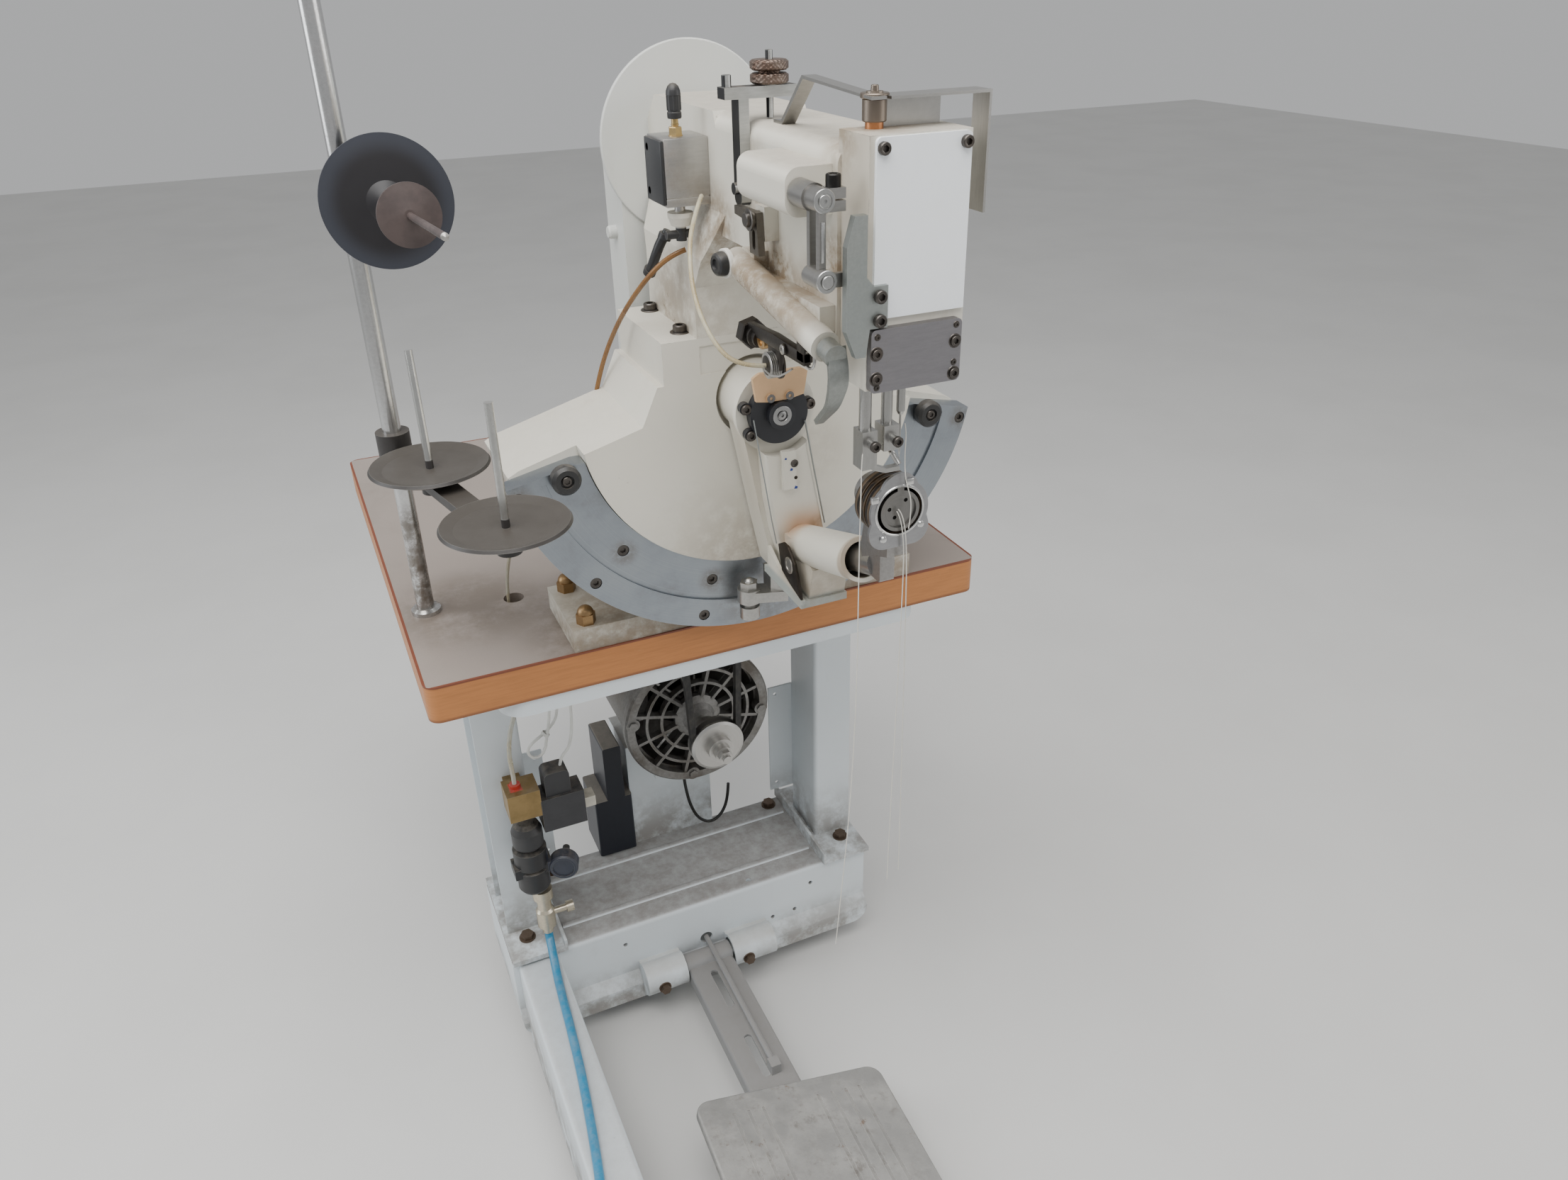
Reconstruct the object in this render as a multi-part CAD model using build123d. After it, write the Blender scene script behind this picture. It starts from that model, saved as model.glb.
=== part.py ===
from build123d import *
import math
import os

# Sole stitching machine on its own table, stand, motor and pedal.
# Millimetres. X runs right from the machine centre, Y back from the front edge of the table,
# Z up from the floor.

# Fits
running = 0.05
gap = 0.4

# Table
table_left = -374
table_right = 306
table_depth = 700
table_top = 760
table_thickness = 45
edging_width = 3
rod_x = -343
rod_y = 171
tube_hole_x = -243
tube_hole_y = 158

# Stand
stand_mid = -34.5
frame_width = 527
frame_front = 3
frame_back = 520
frame_height = 21
rail_width = 45
sheet = 3
leg_web = 184
leg_flange = 60
leg_front = 218
leg_back = 306

# Base beam and foot rail
beam_left = -320
beam_right = 245
beam_front = 165
beam_back = 348
beam_top = 175
beam_low = 40
lip_front = 150
lip_top = 68
ledge_top = 84
beam_sheet = 4
rail_left = -312
rail_right = -253
rail_front = -330
rail_top = 170
foot_plate = 8
pad_radius = 24
foot_low = 30

# Pedal
pin_y = 140
pin_z = 84
pin_radius = 8
strap_radius = 24
strap_wall = 4
strap_left = -138
strap_right = 70
arm_left = -73
arm_width = 72
arm_top = 90
treadle_width = 270
treadle_depth = 300
treadle_thick = 9
treadle_roll = 11.5
treadle_yaw = -2
treadle_back_x = -26
treadle_back_y = -129
treadle_mid_top = 105
groove_pitch = 20.5
groove_width = 5
groove_depth = 1.5
groove_margin = 28

# Motor and belt
motor_z = 473
motor_radius = 100
motor_front = 232
motor_back = 430
bell_radius = 109
bell_front = 218
bell_hub = 24
spoke_count = 12
shaft_radius = 8
motor_pulley_radius = 32
top_pulley_radius = 63
shaft_z = 1262
main_shaft_radius = 10
belt_y = 151
belt_width = 10
belt_thickness = 8
cover_radius = 96
cover_front = 124
cover_back = 185
cover_sheet = 2.5
guard_half = 78.5
pedestal_left = -82
pedestal_right = 52
pedestal_front = 336
shelf_top = 364

# Machine
axis_z = 1033
body_front = -29
body_back = 113
body_radius = 262
sector_radius = 187
guide_inner = 188
guide_outer = 270
guide_front = -24
foot_half = 210
foot_top = 788
block_half = 97
block_low = 1055
block_height = 45
block_top = block_low + block_height
column_half = 60
arm_half = 45
arm_low_z = 1205
arm_height = 105
arm_top_z = arm_low_z + arm_height
arm_back = 124
head_front = -348
head_back = -303
head_left = -42
head_right = 40
head_low = 1140
head_top = arm_top_z + 11
plate_thick = 3
pivot_radius = 18
recess_radius = 43

# Stitching bars and hook
bar_y = -325
presser_x = -31
feed_x = -12
needle_x = 0.5
hook_z = 1028
ring_front = -330
ring_thick = 3
drum_radius = 27
drum_back = -302

# Air group
air_y = 172
hose_diameter = 12


def block(x0, x1, y0, y1, z0, z1):
    return Pos((x0 + x1) / 2, (y0 + y1) / 2, (z0 + z1) / 2) * Box(x1 - x0, y1 - y0, z1 - z0)


def outline(*points):
    return make_face(Polyline(*points, close=True))


def along_x(face, left, right):
    return extrude(Plane.YZ.offset(left) * face, right - left)


def along_y(face, front, back):
    return extrude(Plane.XZ.offset(-back) * face, back - front)


def along_z(face, low, high):
    return extrude(Plane.XY.offset(low) * face, high - low)


def rod_x_way(radius, left, right, y, z):
    return along_x(Pos(y, z) * Circle(radius), left, right)


def rod_y_way(radius, front, back, x, z):
    return along_y(Pos(x, z) * Circle(radius), front, back)


def rod_z_way(radius, low, high, x, y):
    return along_z(Pos(x, y) * Circle(radius), low, high)


def turned(*profile):
    # profile points are (radius, height) and the piece stands on the Z axis
    return revolve(make_face(Plane.XZ * Polyline(*profile, close=True)), Axis.Z)


def group(pieces):
    return Compound(list(pieces))


def bar_between(start, end, radius):
    line = Line(start, end)
    return sweep((line ^ 0) * Circle(radius), path=line)


def hex_bolt(width, head, washer=0):
    bolt = extrude(RegularPolygon(width / 2, 6), head)
    if washer:
        bolt = Pos(0, 0, washer) * bolt + Cylinder(
            washer_radius(width), washer, align=(Align.CENTER, Align.CENTER, Align.MIN))
    return bolt


def washer_radius(width):
    return 0.62 * width


def corner_radii(points):
    radii = []
    for before, corner, after in zip(points, points[1:], points[2:]):
        inward = Vector(*corner) - Vector(*before)
        outward = Vector(*after) - Vector(*corner)
        turn = math.radians(inward.get_angle(outward))
        radii.append(0.45 * min(inward.length, outward.length) / math.tan(turn / 2))
    return radii


def cord(name, points, diameter):
    radii = corner_radii(points)
    path = FilletPolyline(*points, radius=radii)
    tube = sweep((path ^ 0) * Circle(diameter / 2), path=path)
    section = math.pi * diameter ** 2 / 4
    print(name, "radii", [round(r, 1) for r in radii], "length", round(path.length, 1),
          "volume ratio", round(tube.volume / (section * path.length), 3))
    return tube


# Table board and edging
table_mid = (table_left + table_right) / 2
table_width = table_right - table_left
board_low = table_top - table_thickness
board_full = Pos(table_mid, table_depth / 2) * RectangleRounded(table_width, table_depth, 14)
board_inner = Pos(table_mid, table_depth / 2) * RectangleRounded(
    table_width - 2 * edging_width, table_depth - 2 * edging_width, 4)
rod_radius = 10
table_edging = along_z(board_full - board_inner, board_low, table_top)
board_face = board_inner - Pos(0, belt_y) * RectangleRounded(104, 30, 10)
board_face -= Pos(tube_hole_x, tube_hole_y) * Circle(12)
board_face -= Pos(rod_x, rod_y) * Circle(rod_radius + running)
table_board = along_z(board_face, board_low, table_top)

# Stand frame, a folded ring with two folded legs welded under it
frame_mid_y = (frame_front + frame_back) / 2
frame_depth = frame_back - frame_front
frame_low = board_low - frame_height


def frame_rect(inset):
    return Pos(stand_mid, frame_mid_y) * RectangleRounded(
        frame_width - 2 * inset, frame_depth - 2 * inset, 30 - 0.4 * inset)


stand_ring = along_z(frame_rect(0) - frame_rect(rail_width), frame_low, board_low)
stand_ring -= along_z(frame_rect(sheet) - frame_rect(rail_width - sheet), frame_low - 1, board_low - sheet)
leg_low = beam_top + foot_plate
leg_outer = along_z(Pos(leg_web + leg_flange / 2, (leg_front + leg_back) / 2)
                    * Rectangle(leg_flange, leg_back - leg_front), leg_low, board_low - sheet)
leg_outer = fillet(leg_outer.edges().filter_by(Axis.Z).sort_by(Axis.X)[:2], 6)
leg_hollow = block(leg_web + sheet, leg_web + leg_flange + 1, leg_front + sheet, leg_back - sheet,
                   leg_low - 1, board_low)
leg = leg_outer - leg_hollow
rail_outer_x = stand_mid + frame_width / 2
leg -= block(rail_outer_x - 1, rail_outer_x + 40, leg_front - 1, leg_back + 1, frame_low, board_low)
side_plate = block(leg_web - 39, leg_web + 1, leg_back - sheet, leg_back, 228, 427)
side_plate -= rod_y_way(3, leg_back - 10, leg_back + 5, leg_web - 28, 414)
side_plate -= rod_y_way(3, leg_back - 10, leg_back + 5, leg_web - 28, 241)
foot_outline = Pos(210.5, 254) * Rectangle(79, 192)
foot = along_z(foot_outline, beam_top, leg_low)
foot += block(171, 175, 158, 350, beam_top, beam_top + 20)
foot -= rod_z_way(5.2, beam_top - 1, leg_low + 1, 220, 200)
right_leg = leg + side_plate + foot
left_leg = mirror(right_leg, about=Plane.YZ.offset(stand_mid))
stand_frame = stand_ring + right_leg + left_leg

# Base beam, folded from one sheet and closed at both ends
beam_side = outline((beam_back, beam_low), (beam_back, beam_top), (beam_front, beam_top),
                    (beam_front, ledge_top), (lip_front, lip_top), (lip_front, beam_low))
beam_solid = along_x(beam_side, beam_left, beam_right)
long_edges = beam_solid.edges().filter_by(Axis.X).group_by(Axis.Z)[-1]
beam_solid = fillet(long_edges, 8)
end_corner = beam_solid.edges().filter_by(Axis.Y).group_by(Axis.Z)[0]
beam_solid = fillet(end_corner, 26)
beam_inside = outline((beam_back - beam_sheet, beam_low - 1), (beam_back - beam_sheet, beam_top - beam_sheet),
                      (beam_front + beam_sheet, beam_top - beam_sheet),
                      (beam_front + beam_sheet, ledge_top - 2),
                      (lip_front + beam_sheet, lip_top - 2), (lip_front + beam_sheet, beam_low - 1))
beam_room = along_x(beam_inside, beam_left + beam_sheet, beam_right - beam_sheet)
beam_room = fillet(beam_room.edges().filter_by(Axis.Y).group_by(Axis.Z)[0], 26 - beam_sheet)
beam_shell = beam_solid - beam_room
bead_y = (208, 306)
for y in bead_y:
    bead = rod_x_way(6, -236, 166, y, beam_top - 2.5)
    beam_shell += bead - block(-300, 300, y - 20, y + 20, beam_top - 20, beam_top - beam_sheet)
for x, z in ((-155, 141), (150, 141), (84, 96), (122, 97)):
    beam_shell -= rod_y_way(3.5, beam_front - 5, beam_front + 10, x, z)
rod_hole_x = -28
rod_hole_z = 101
beam_shell -= rod_y_way(10, beam_front - 5, beam_front + 10, rod_hole_x, rod_hole_z)
beam_shell -= rod_z_way(4, beam_top - 10, beam_top + 5, 50, 178)
bridge_low = beam_low + 8
foot_spots_beam = ((beam_left + 37, 322), (beam_right - 33, 322), (beam_right - 33, 222))
for x, y in foot_spots_beam:
    bridge = block(x - 24, x + 24, lip_front + 1, beam_back - 1, bridge_low, bridge_low + 6)
    beam_shell += bridge
for x, y in foot_spots_beam:
    beam_shell -= rod_z_way(6 + running, beam_low - 5, beam_low + 25, x, y)
base_beam = beam_shell

# Left foot rail, an upturned channel welded against the beam
rail_side = outline((rail_front, foot_low), (rail_front, rail_top), (beam_front, rail_top),
                    (beam_front, ledge_top), (lip_front, lip_top), (lip_front, foot_low))
rail_solid = along_x(rail_side, rail_left, rail_right)
rail_tops = rail_solid.edges().filter_by(Axis.Y).group_by(Axis.Z)[-1]
rail_solid = fillet(rail_tops, 8)
rail_inside = outline((rail_front + beam_sheet, foot_low - 1),
                      (rail_front + beam_sheet, rail_top - beam_sheet),
                      (beam_front - beam_sheet, rail_top - beam_sheet),
                      (beam_front - beam_sheet, ledge_top + 2),
                      (lip_front - beam_sheet, lip_top + 2), (lip_front - beam_sheet, foot_low - 1))
rail_shell = rail_solid - along_x(rail_inside, rail_left + beam_sheet, rail_right - beam_sheet)
rail_mid = (rail_left + rail_right) / 2
foot_spots_rail = ((rail_mid, rail_front + 28), (rail_mid, lip_front - 40))
for x, y in foot_spots_rail:
    bridge = block(rail_left + 1, rail_right - 1, y - 20, y + 20, bridge_low, bridge_low + 6)
    rail_shell += bridge - rod_z_way(6 + running, beam_low - 5, beam_low + 25, x, y)
left_foot_rail = rail_shell

# Levelling feet
level_profile = ((0, 0), (pad_radius, 0), (pad_radius, 5), (14, 13), (9, 15), (9, 22), (6, 22),
                 (6, 60), (0, 60))
feet = []
for x, y in foot_spots_beam + foot_spots_rail:
    lock_nut = Pos(x, y, bridge_low - 10) * extrude(RegularPolygon(11, 6), 10)
    feet.append(Pos(x, y, 0) * turned(*level_profile) + lock_nut)
levelling_feet = group(feet)

# Hex bolts of the stand
strap_front = pin_y - strap_radius
bolts = []
for x, y, z in ((220, 200, leg_low), (151, 330, beam_top), (-289, 200, leg_low), (-220, 330, beam_top)):
    bolts.append(Pos(x, y, z) * hex_bolt(19, 6, 2))
for x in (-114, 22):
    bolts.append(Pos(x, strap_front, 82) * Rot(X=90) * hex_bolt(15, 6, 2))
stand_bolts = group(bolts)

# Pedal bracket, a strap with two half-round shells and the pivot pin
strap_face = Pos(pin_y, pin_z) * Circle(strap_radius)
strap_face += outline((pin_y, pin_z), (pin_y - 12, pin_z - 20), (lip_front - strap_wall, 46),
                      (lip_front, 46), (lip_front, pin_z - 10))
strap_face += outline((pin_y, pin_z), (pin_y, pin_z + 16), (beam_front, pin_z + 16), (beam_front, pin_z))
strap = along_x(strap_face, strap_left, strap_right)
strap -= rod_x_way(strap_radius - strap_wall, strap_left + strap_wall, strap_right - strap_wall, pin_y, pin_z)
arm_right = arm_left + arm_width
window = block(arm_left - 2, arm_right + 2, pin_y - 60, beam_front + 5, ledge_top - 22, 140)
window += block(arm_left - 2, arm_right + 2, pin_y - 60, lip_front - strap_wall, 40, 140)
strap -= window
strap -= along_x(outline((beam_back, 0), (beam_back, beam_top), (beam_front, beam_top),
                         (beam_front, ledge_top),
                         (lip_front, lip_top), (lip_front, 0)), beam_left, beam_right)
for x in (-114, 22):
    strap += rod_y_way(9, strap_front, pin_y - strap_radius + 6, x, 82)
strap_pin = rod_x_way(pin_radius, strap_left + 1, strap_right - 1, pin_y, pin_z)
pedal_bracket = strap + strap_pin

# Pedal arm, an upturned channel on a sleeve, with its pull rod
sleeve_radius = 17
arm_front = -330
arm_channel = block(arm_left, arm_right, arm_front, pin_y - 10, arm_top - 24, arm_top)
arm_channel = fillet(arm_channel.edges().filter_by(Axis.Y).group_by(Axis.Z)[-1], 5)
arm_channel -= block(arm_left + beam_sheet, arm_right - beam_sheet, arm_front - 1, pin_y - 20,
                     arm_top - 40, arm_top - beam_sheet)
slot_x = arm_left + 33
arm_channel -= along_z(Pos(slot_x, 71) * Rot(Z=90) * SlotOverall(76, 11), arm_top - 10, arm_top + 5)
arm_channel -= along_z(Pos(slot_x, -60) * Rot(Z=90) * SlotOverall(76, 11), arm_top - 10, arm_top + 5)
pedal_arm = arm_channel + rod_x_way(sleeve_radius, arm_left, arm_right, pin_y, pin_z)
pull_rod_z = rod_hole_z
pedal_arm += block(rod_hole_x - 7, rod_hole_x + 7, -100, -84, arm_top - 1, pull_rod_z + 6)
pedal_arm += rod_y_way(4, -90, beam_front + 2, rod_hole_x, pull_rod_z)
pedal_arm -= rod_x_way(pin_radius + running, arm_left - 1, arm_right + 1, pin_y, pin_z)

# Treadle, cast with rounded edges and two groups of grooves; it leans to the right on its wedge
treadle = extrude(RectangleRounded(treadle_width, treadle_depth, 20), treadle_thick)
treadle = fillet(treadle.edges().group_by(Axis.Z)[-1], 3.5)
left_grooves = [groove_margin + 18 + i * groove_pitch for i in range(3)]
right_grooves = [treadle_width - groove_margin - 14 - i * groove_pitch for i in range(4)]
groove_length = treadle_depth - 2 * groove_margin
for x in left_grooves + right_grooves:
    groove = extrude(Rot(Z=90) * SlotOverall(groove_length, groove_width), 2 * groove_depth)
    treadle -= Pos(x - treadle_width / 2, 0, treadle_thick - groove_depth) * groove
yaw = math.radians(treadle_yaw)
roll = math.radians(treadle_roll)
treadle_x = treadle_back_x + math.sin(yaw) * treadle_depth / 2
treadle_y = treadle_back_y - math.cos(yaw) * treadle_depth / 2
treadle_low = treadle_mid_top - treadle_thick / math.cos(roll)


def under_treadle(x):
    return treadle_low - (x - treadle_x) * math.tan(roll)


pedal_plate = Pos(treadle_x, treadle_y, treadle_low) * Rot(Z=treadle_yaw) * Rot(Y=treadle_roll) * treadle
wedge_left = arm_left + 6
wedge_right = arm_right - 6
wedge = outline((wedge_left, arm_top), (wedge_right, arm_top), (wedge_right, under_treadle(wedge_right) + 3),
                (wedge_left, under_treadle(wedge_left) + 3))
pedal_plate += along_y(wedge, arm_front + 20, treadle_back_y - 25)

# Motor pedestal, a folded bracket with a shelf under the motor
pedestal_depth = 90
pedestal = block(pedestal_left, pedestal_right, pedestal_front, pedestal_front + pedestal_depth,
                 beam_top, shelf_top)
pedestal -= block(pedestal_left + sheet, pedestal_right - sheet, pedestal_front + sheet,
                  pedestal_front + pedestal_depth + 1, beam_top + sheet, shelf_top - 2 * sheet)
pedestal += block(pedestal_left + 20, pedestal_right - 6, motor_front + 20, pedestal_front + 5,
                  shelf_top - 2 * sheet, shelf_top)
pedestal -= block(pedestal_left - 1, pedestal_right + 1, beam_back, pedestal_front + pedestal_depth + 1,
                  beam_top - 1, beam_top + sheet + 1)
motor_pedestal = pedestal

# Motor body, a finned shell with its feet
motor_shell = turned((motor_radius - 8, 0), (motor_radius, 0), (motor_radius, motor_back - motor_front - 22),
                     (motor_radius - 8, motor_back - motor_front), (0, motor_back - motor_front),
                     (0, motor_back - motor_front - 8), (motor_radius - 8, motor_back - motor_front - 8))
motor_body = Pos(0, motor_front, motor_z) * Rot(X=-90) * motor_shell
foot_face = outline((-62, shelf_top), (62, shelf_top), (62, shelf_top + 8), (44, shelf_top + 22),
                    (-44, shelf_top + 22), (-62, shelf_top + 8))
motor_feet = along_y(foot_face, motor_front + 40, motor_back - 40)
motor_feet -= rod_y_way(motor_radius - 4, motor_front, motor_back, 0, motor_z)
motor_body += motor_feet
stator = rod_y_way(motor_radius - 7, motor_front + 60, motor_back - 40, 0, motor_z)
stator -= rod_y_way(52, motor_front, motor_back, 0, motor_z)
motor_body += stator

# Spoked end bell: rim, middle ring and hub from one turned profile set, spokes in a polar pattern
bell_depth = motor_front - bell_front
rim = turned((bell_radius - 14, 0), (bell_radius - 3, 0), (bell_radius, 3), (bell_radius, bell_depth),
             (bell_radius - 14, bell_depth))
collar = turned((bell_radius - 34, 2), (bell_radius - 30, 2), (bell_radius - 30, bell_depth - 1),
                (bell_radius - 34, bell_depth - 1))
inner_collar = turned((bell_radius - 56, 2), (bell_radius - 52, 2), (bell_radius - 52, bell_depth - 1),
                      (bell_radius - 56, bell_depth - 1))
hub = turned((shaft_radius + running, -8), (bell_hub - 6, -8), (bell_hub, 0), (bell_hub + 10, 4),
             (bell_hub + 10, bell_depth - 1), (shaft_radius + running, bell_depth - 1))
bell = rim + collar + inner_collar + hub
spoke_face = outline((-2.2, 0), (2.2, 0), (3.2, bell_depth - 4), (-3.2, bell_depth - 4))
spoke = extrude(Plane.YZ.offset(bell_hub + 8) * Pos(0, 2) * spoke_face, bell_radius - 12 - bell_hub - 8)
for i in range(spoke_count):
    bell += Rot(Z=(i + 0.5) * 360 / spoke_count) * spoke
ear_radius = 98
for turn in (8, 98, 188, 278):
    at = Rot(Z=turn) * Pos(ear_radius, 0, 0)
    bell += at * Cylinder(10, bell_depth - 1, align=(Align.CENTER, Align.CENTER, Align.MIN))
    bell += at * Pos(0, 0, -3) * extrude(RegularPolygon(6.5, 6), 5)
motor_end_bell = Pos(0, bell_front, motor_z) * Rot(X=-90) * bell

# Drive belt around both pulleys
belt_half = belt_thickness / 2
centre_distance = shaft_z - motor_z
lean = math.asin((top_pulley_radius - motor_pulley_radius) / centre_distance)


def belt_outline(grow):
    low = motor_pulley_radius + grow
    high = top_pulley_radius + grow
    side_x = math.cos(lean)
    side_z = -math.sin(lean)
    face = Pos(0, motor_z) * Circle(low) + Pos(0, shaft_z) * Circle(high)
    face += outline((-low * side_x, motor_z + low * side_z), (low * side_x, motor_z + low * side_z),
                    (high * side_x, shaft_z + high * side_z), (-high * side_x, shaft_z + high * side_z))
    return face


belt_face = belt_outline(belt_half) - belt_outline(-belt_half)
drive_belt = along_y(belt_face, belt_y - belt_width / 2, belt_y + belt_width / 2)


def pulley_wheel(pitch, hub_front, hub_back, bore):
    groove = pitch - belt_half - gap
    rim_radius = pitch + belt_half + 2
    half = belt_width / 2 + gap
    return turned((0, hub_front), (bore, hub_front), (bore, -half - 5), (rim_radius - 4, -half - 5),
                  (rim_radius, -half - 3), (rim_radius, -half), (groove, -half), (groove, half),
                  (rim_radius, half), (rim_radius, half + 3), (rim_radius - 4, half + 5), (bore, half + 5),
                  (bore, hub_back), (0, hub_back))


# Motor pulley with its stepped nose, shaft and cooling fan
motor_pulley = pulley_wheel(motor_pulley_radius, -22, 40, 18)
motor_pulley += Pos(0, 0, -32) * Cylinder(12, 18, align=(Align.CENTER, Align.CENTER, Align.MIN))
motor_pulley += Pos(0, 0, -40) * extrude(RegularPolygon(10, 6), 10)
motor_pulley += Pos(0, 0, -46) * Cylinder(6, 10, align=(Align.CENTER, Align.CENTER, Align.MIN))
motor_pulley += Cylinder(shaft_radius, 140, align=(Align.CENTER, Align.CENTER, Align.MIN))
fan_low = motor_front - belt_y + 8
motor_pulley += Pos(0, 0, fan_low) * Cylinder(30, 6, align=(Align.CENTER, Align.CENTER, Align.MIN))
blade = Pos(54, 0, fan_low + 12) * Rot(X=24) * Box(56, 3, 24)
for i in range(8):
    motor_pulley += Rot(Z=i * 45) * blade
motor_pulley = Pos(0, belt_y, motor_z) * Rot(X=-90) * motor_pulley

# Top pulley on the main shaft
top_pulley = pulley_wheel(top_pulley_radius, -20, 14, 20)
for i in range(4):
    top_pulley -= Rot(Z=i * 90) * Pos(38, 0, -20) * Cylinder(12, 60)
shaft_front = 40
top_pulley += Pos(0, 0, shaft_front - belt_y) * Cylinder(
    main_shaft_radius, belt_y - shaft_front, align=(Align.CENTER, Align.CENTER, Align.MIN))
top_pulley = Pos(0, belt_y, shaft_z) * Rot(X=-90) * top_pulley

# Belt cover: a round disc in front of a folded guard that stands on the table


def guard_outline(grow):
    face = Pos(0, shaft_z) * Circle(guard_half + grow)
    face += outline((-guard_half - grow, table_top), (guard_half + grow, table_top),
                    (guard_half + grow, shaft_z), (-guard_half - grow, shaft_z))
    return face


disc_thick = 4
belt_cover = rod_y_way(cover_radius, cover_front, cover_front + disc_thick, 0, shaft_z)
belt_cover = fillet(belt_cover.edges().sort_by(Axis.Y)[0], 1.5)
belt_cover += along_y(guard_outline(0), cover_front + disc_thick - 1, cover_back)
belt_cover -= along_y(guard_outline(-cover_sheet), cover_front + disc_thick - 1 + cover_sheet, cover_back + 1)
belt_cover -= rod_y_way(main_shaft_radius + 4, cover_front - 5, cover_front + 10, 0, shaft_z)
belt_cover -= block(-60, 60, cover_front - 5, cover_back + 5, table_top - 1, table_top + 1)
guard_screw = turned((0, -1), (7, -1), (7, 7), (5.5, 9), (0, 9))
belt_cover += Pos(-guard_half, 158, 1171) * Rot(Y=-90) * guard_screw

# Control box beside the pedestal
control_box = block(-141, pedestal_left, 324, 400, beam_top + sheet, 284)
control_box = fillet(control_box.edges().filter_by(Axis.Z), 4)
control_box += fillet(block(-121, -93, 324, 400, 270, 381).edges().filter_by(Axis.Y), 3)

# Valve block with its solenoid and fittings
valve_block = block(-291, -248, 150, 190, 434, 476)
valve_block += block(-248.5, -190, 152, 188, 402, 455)
valve_block += block(-240, -206, 156, 184, 455, 492)
valve_block = fillet(valve_block.edges().filter_by(Axis.Y).group_by(Axis.Z)[-1], 8)
valve_block += rod_z_way(7, 475, 482, -276, 170)
valve_block += block(-190, -174, 160, 180, 418, 434)
valve_block += block(-285, -262, 188, leg_front, 436, 462)

# Regulator body with its gauge, knob and shut-off valve
regulator_x = -270
regulator_body = Pos(regulator_x, air_y, 300) * turned(
    (0, 0), (19, 0), (22, 5), (22, 36), (18, 38), (18, 41), (23, 43), (23, 70), (15, 72), (15, 76), (0, 76))
regulator_body += block(regulator_x - 26, regulator_x + 26, air_y - 15, air_y + 15, 330, 346)
regulator_body += block(regulator_x - 10, regulator_x + 10, air_y, leg_front, 346, 364)
gauge = turned((0, -26), (5, -26), (5, -2), (19, -2), (20, 0), (20, 16), (18, 18), (15, 18), (15, 16),
               (0, 16))
regulator_body += Pos(-226, air_y - 6, 335) * Rot(X=90) * Rot(Y=-20) * gauge
regulator_body += rod_x_way(5, -250, -226, air_y, 335)
knob_low = 377
regulator_knob = Pos(regulator_x, air_y, knob_low) * turned(
    (0, 0), (20, 0), (21, 2), (21, 24), (17, 33), (10, 36), (0, 36.5))
valve_shape = turned((0, 0), (8, 0), (8, 10), (13, 12), (13, 40), (10, 44), (10, 62),
                     (14, 64), (14, 80), (9, 82), (9, 88), (0, 88))
shutoff_valve = Pos(-262, air_y, 212) * valve_shape
shutoff_valve += rod_x_way(5, -262, -232, air_y, 244) + rod_x_way(8, -232, -222, air_y, 244)

# Air hose along the foot rail, its coil on the floor and the coupling
hose_low_z = rail_top + hose_diameter / 2 + 0.5
coil_mid_x = -430
coil_mid_y = -294
coil_radius = 64
coil_width = hose_diameter + 2
coil_side = coil_mid_y - coil_radius - coil_width / 2 - hose_diameter / 2 - gap
hose_points = ((-262, air_y, 212), (-262, air_y, 202), (-263, air_y - 11, 194), (-265, air_y - 33, 185),
               (-268, 112, hose_low_z), (-271, 72, hose_low_z), (-275, 14, hose_low_z + 1),
               (-280, -46, hose_low_z), (-287, -106, hose_low_z + 1), (-295, -166, hose_low_z),
               (-304, -224, hose_low_z + 1), (-318, -276, hose_low_z - 2), (-334, -314, hose_low_z - 38),
               (-350, -340, hose_low_z - 88), (-368, -358, 40), (-390, -368, 12), (-418, coil_side, 7),
               (-446, coil_side, 7))
air_hose = cord("air hose", hose_points, hose_diameter)
coil_height = 68
coil_ring = Pos(coil_radius, coil_height / 2 + 0.5) * RectangleRounded(coil_width, coil_height, 6)
hose_coil = Pos(coil_mid_x, coil_mid_y, 0) * revolve(Plane.XZ * coil_ring, Axis.Z)
coupling = turned((0, 0), (6, 0), (6, 14), (9, 16), (9, 22), (11, 23), (11, 40), (8, 42), (8, 52), (5, 54),
                  (0, 54))
coil_top = coil_height + 0.5
hose_coupling = Pos(coil_mid_x - coil_radius, coil_mid_y + 31, coil_top + 11.2) * Rot(X=90) * coupling

# Thread stand: rod, collar and the bracket of the reel
thread_rod = rod_z_way(rod_radius, board_low, 1420, rod_x, rod_y)
thread_rod += Pos(rod_x, rod_y, table_top) * turned((0, 0), (17, 0), (17, 5), (13, 8), (0, 8))
reel_x = -310
reel_y = 131
reel_z = 1227
reel_tilt = 5
thread_rod += rod_z_way(17, 1205, 1239, rod_x, rod_y)
thread_rod += Pos(-326, 166, 1222) * Rot(Z=-30) * Box(44, 16, 16)
bearing = turned((0, 0), (11, 0), (11, 22), (0, 22))
reel_place = Pos(reel_x, reel_y, reel_z) * Rot(X=90 + -reel_tilt)
thread_rod += reel_place * Pos(0, 0, -34) * bearing
reel_shape = turned((0, 0), (62.5, 0), (62.5, 4), (20, 6), (8, 12), (3, 14), (3, 150), (27, 152),
                    (27, 156), (5, 160), (3, 160), (3, 338), (0, 340))
reel_shape += Pos(0, 0, -34) * Cylinder(3, 40, align=(Align.CENTER, Align.CENTER, Align.MIN))
reel_disc = reel_place * reel_shape
standing = (Align.CENTER, Align.CENTER, Align.MIN)
thread_rod -= reel_place * Pos(0, 0, -40) * Cylinder(3 + running, 60, align=standing)
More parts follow.
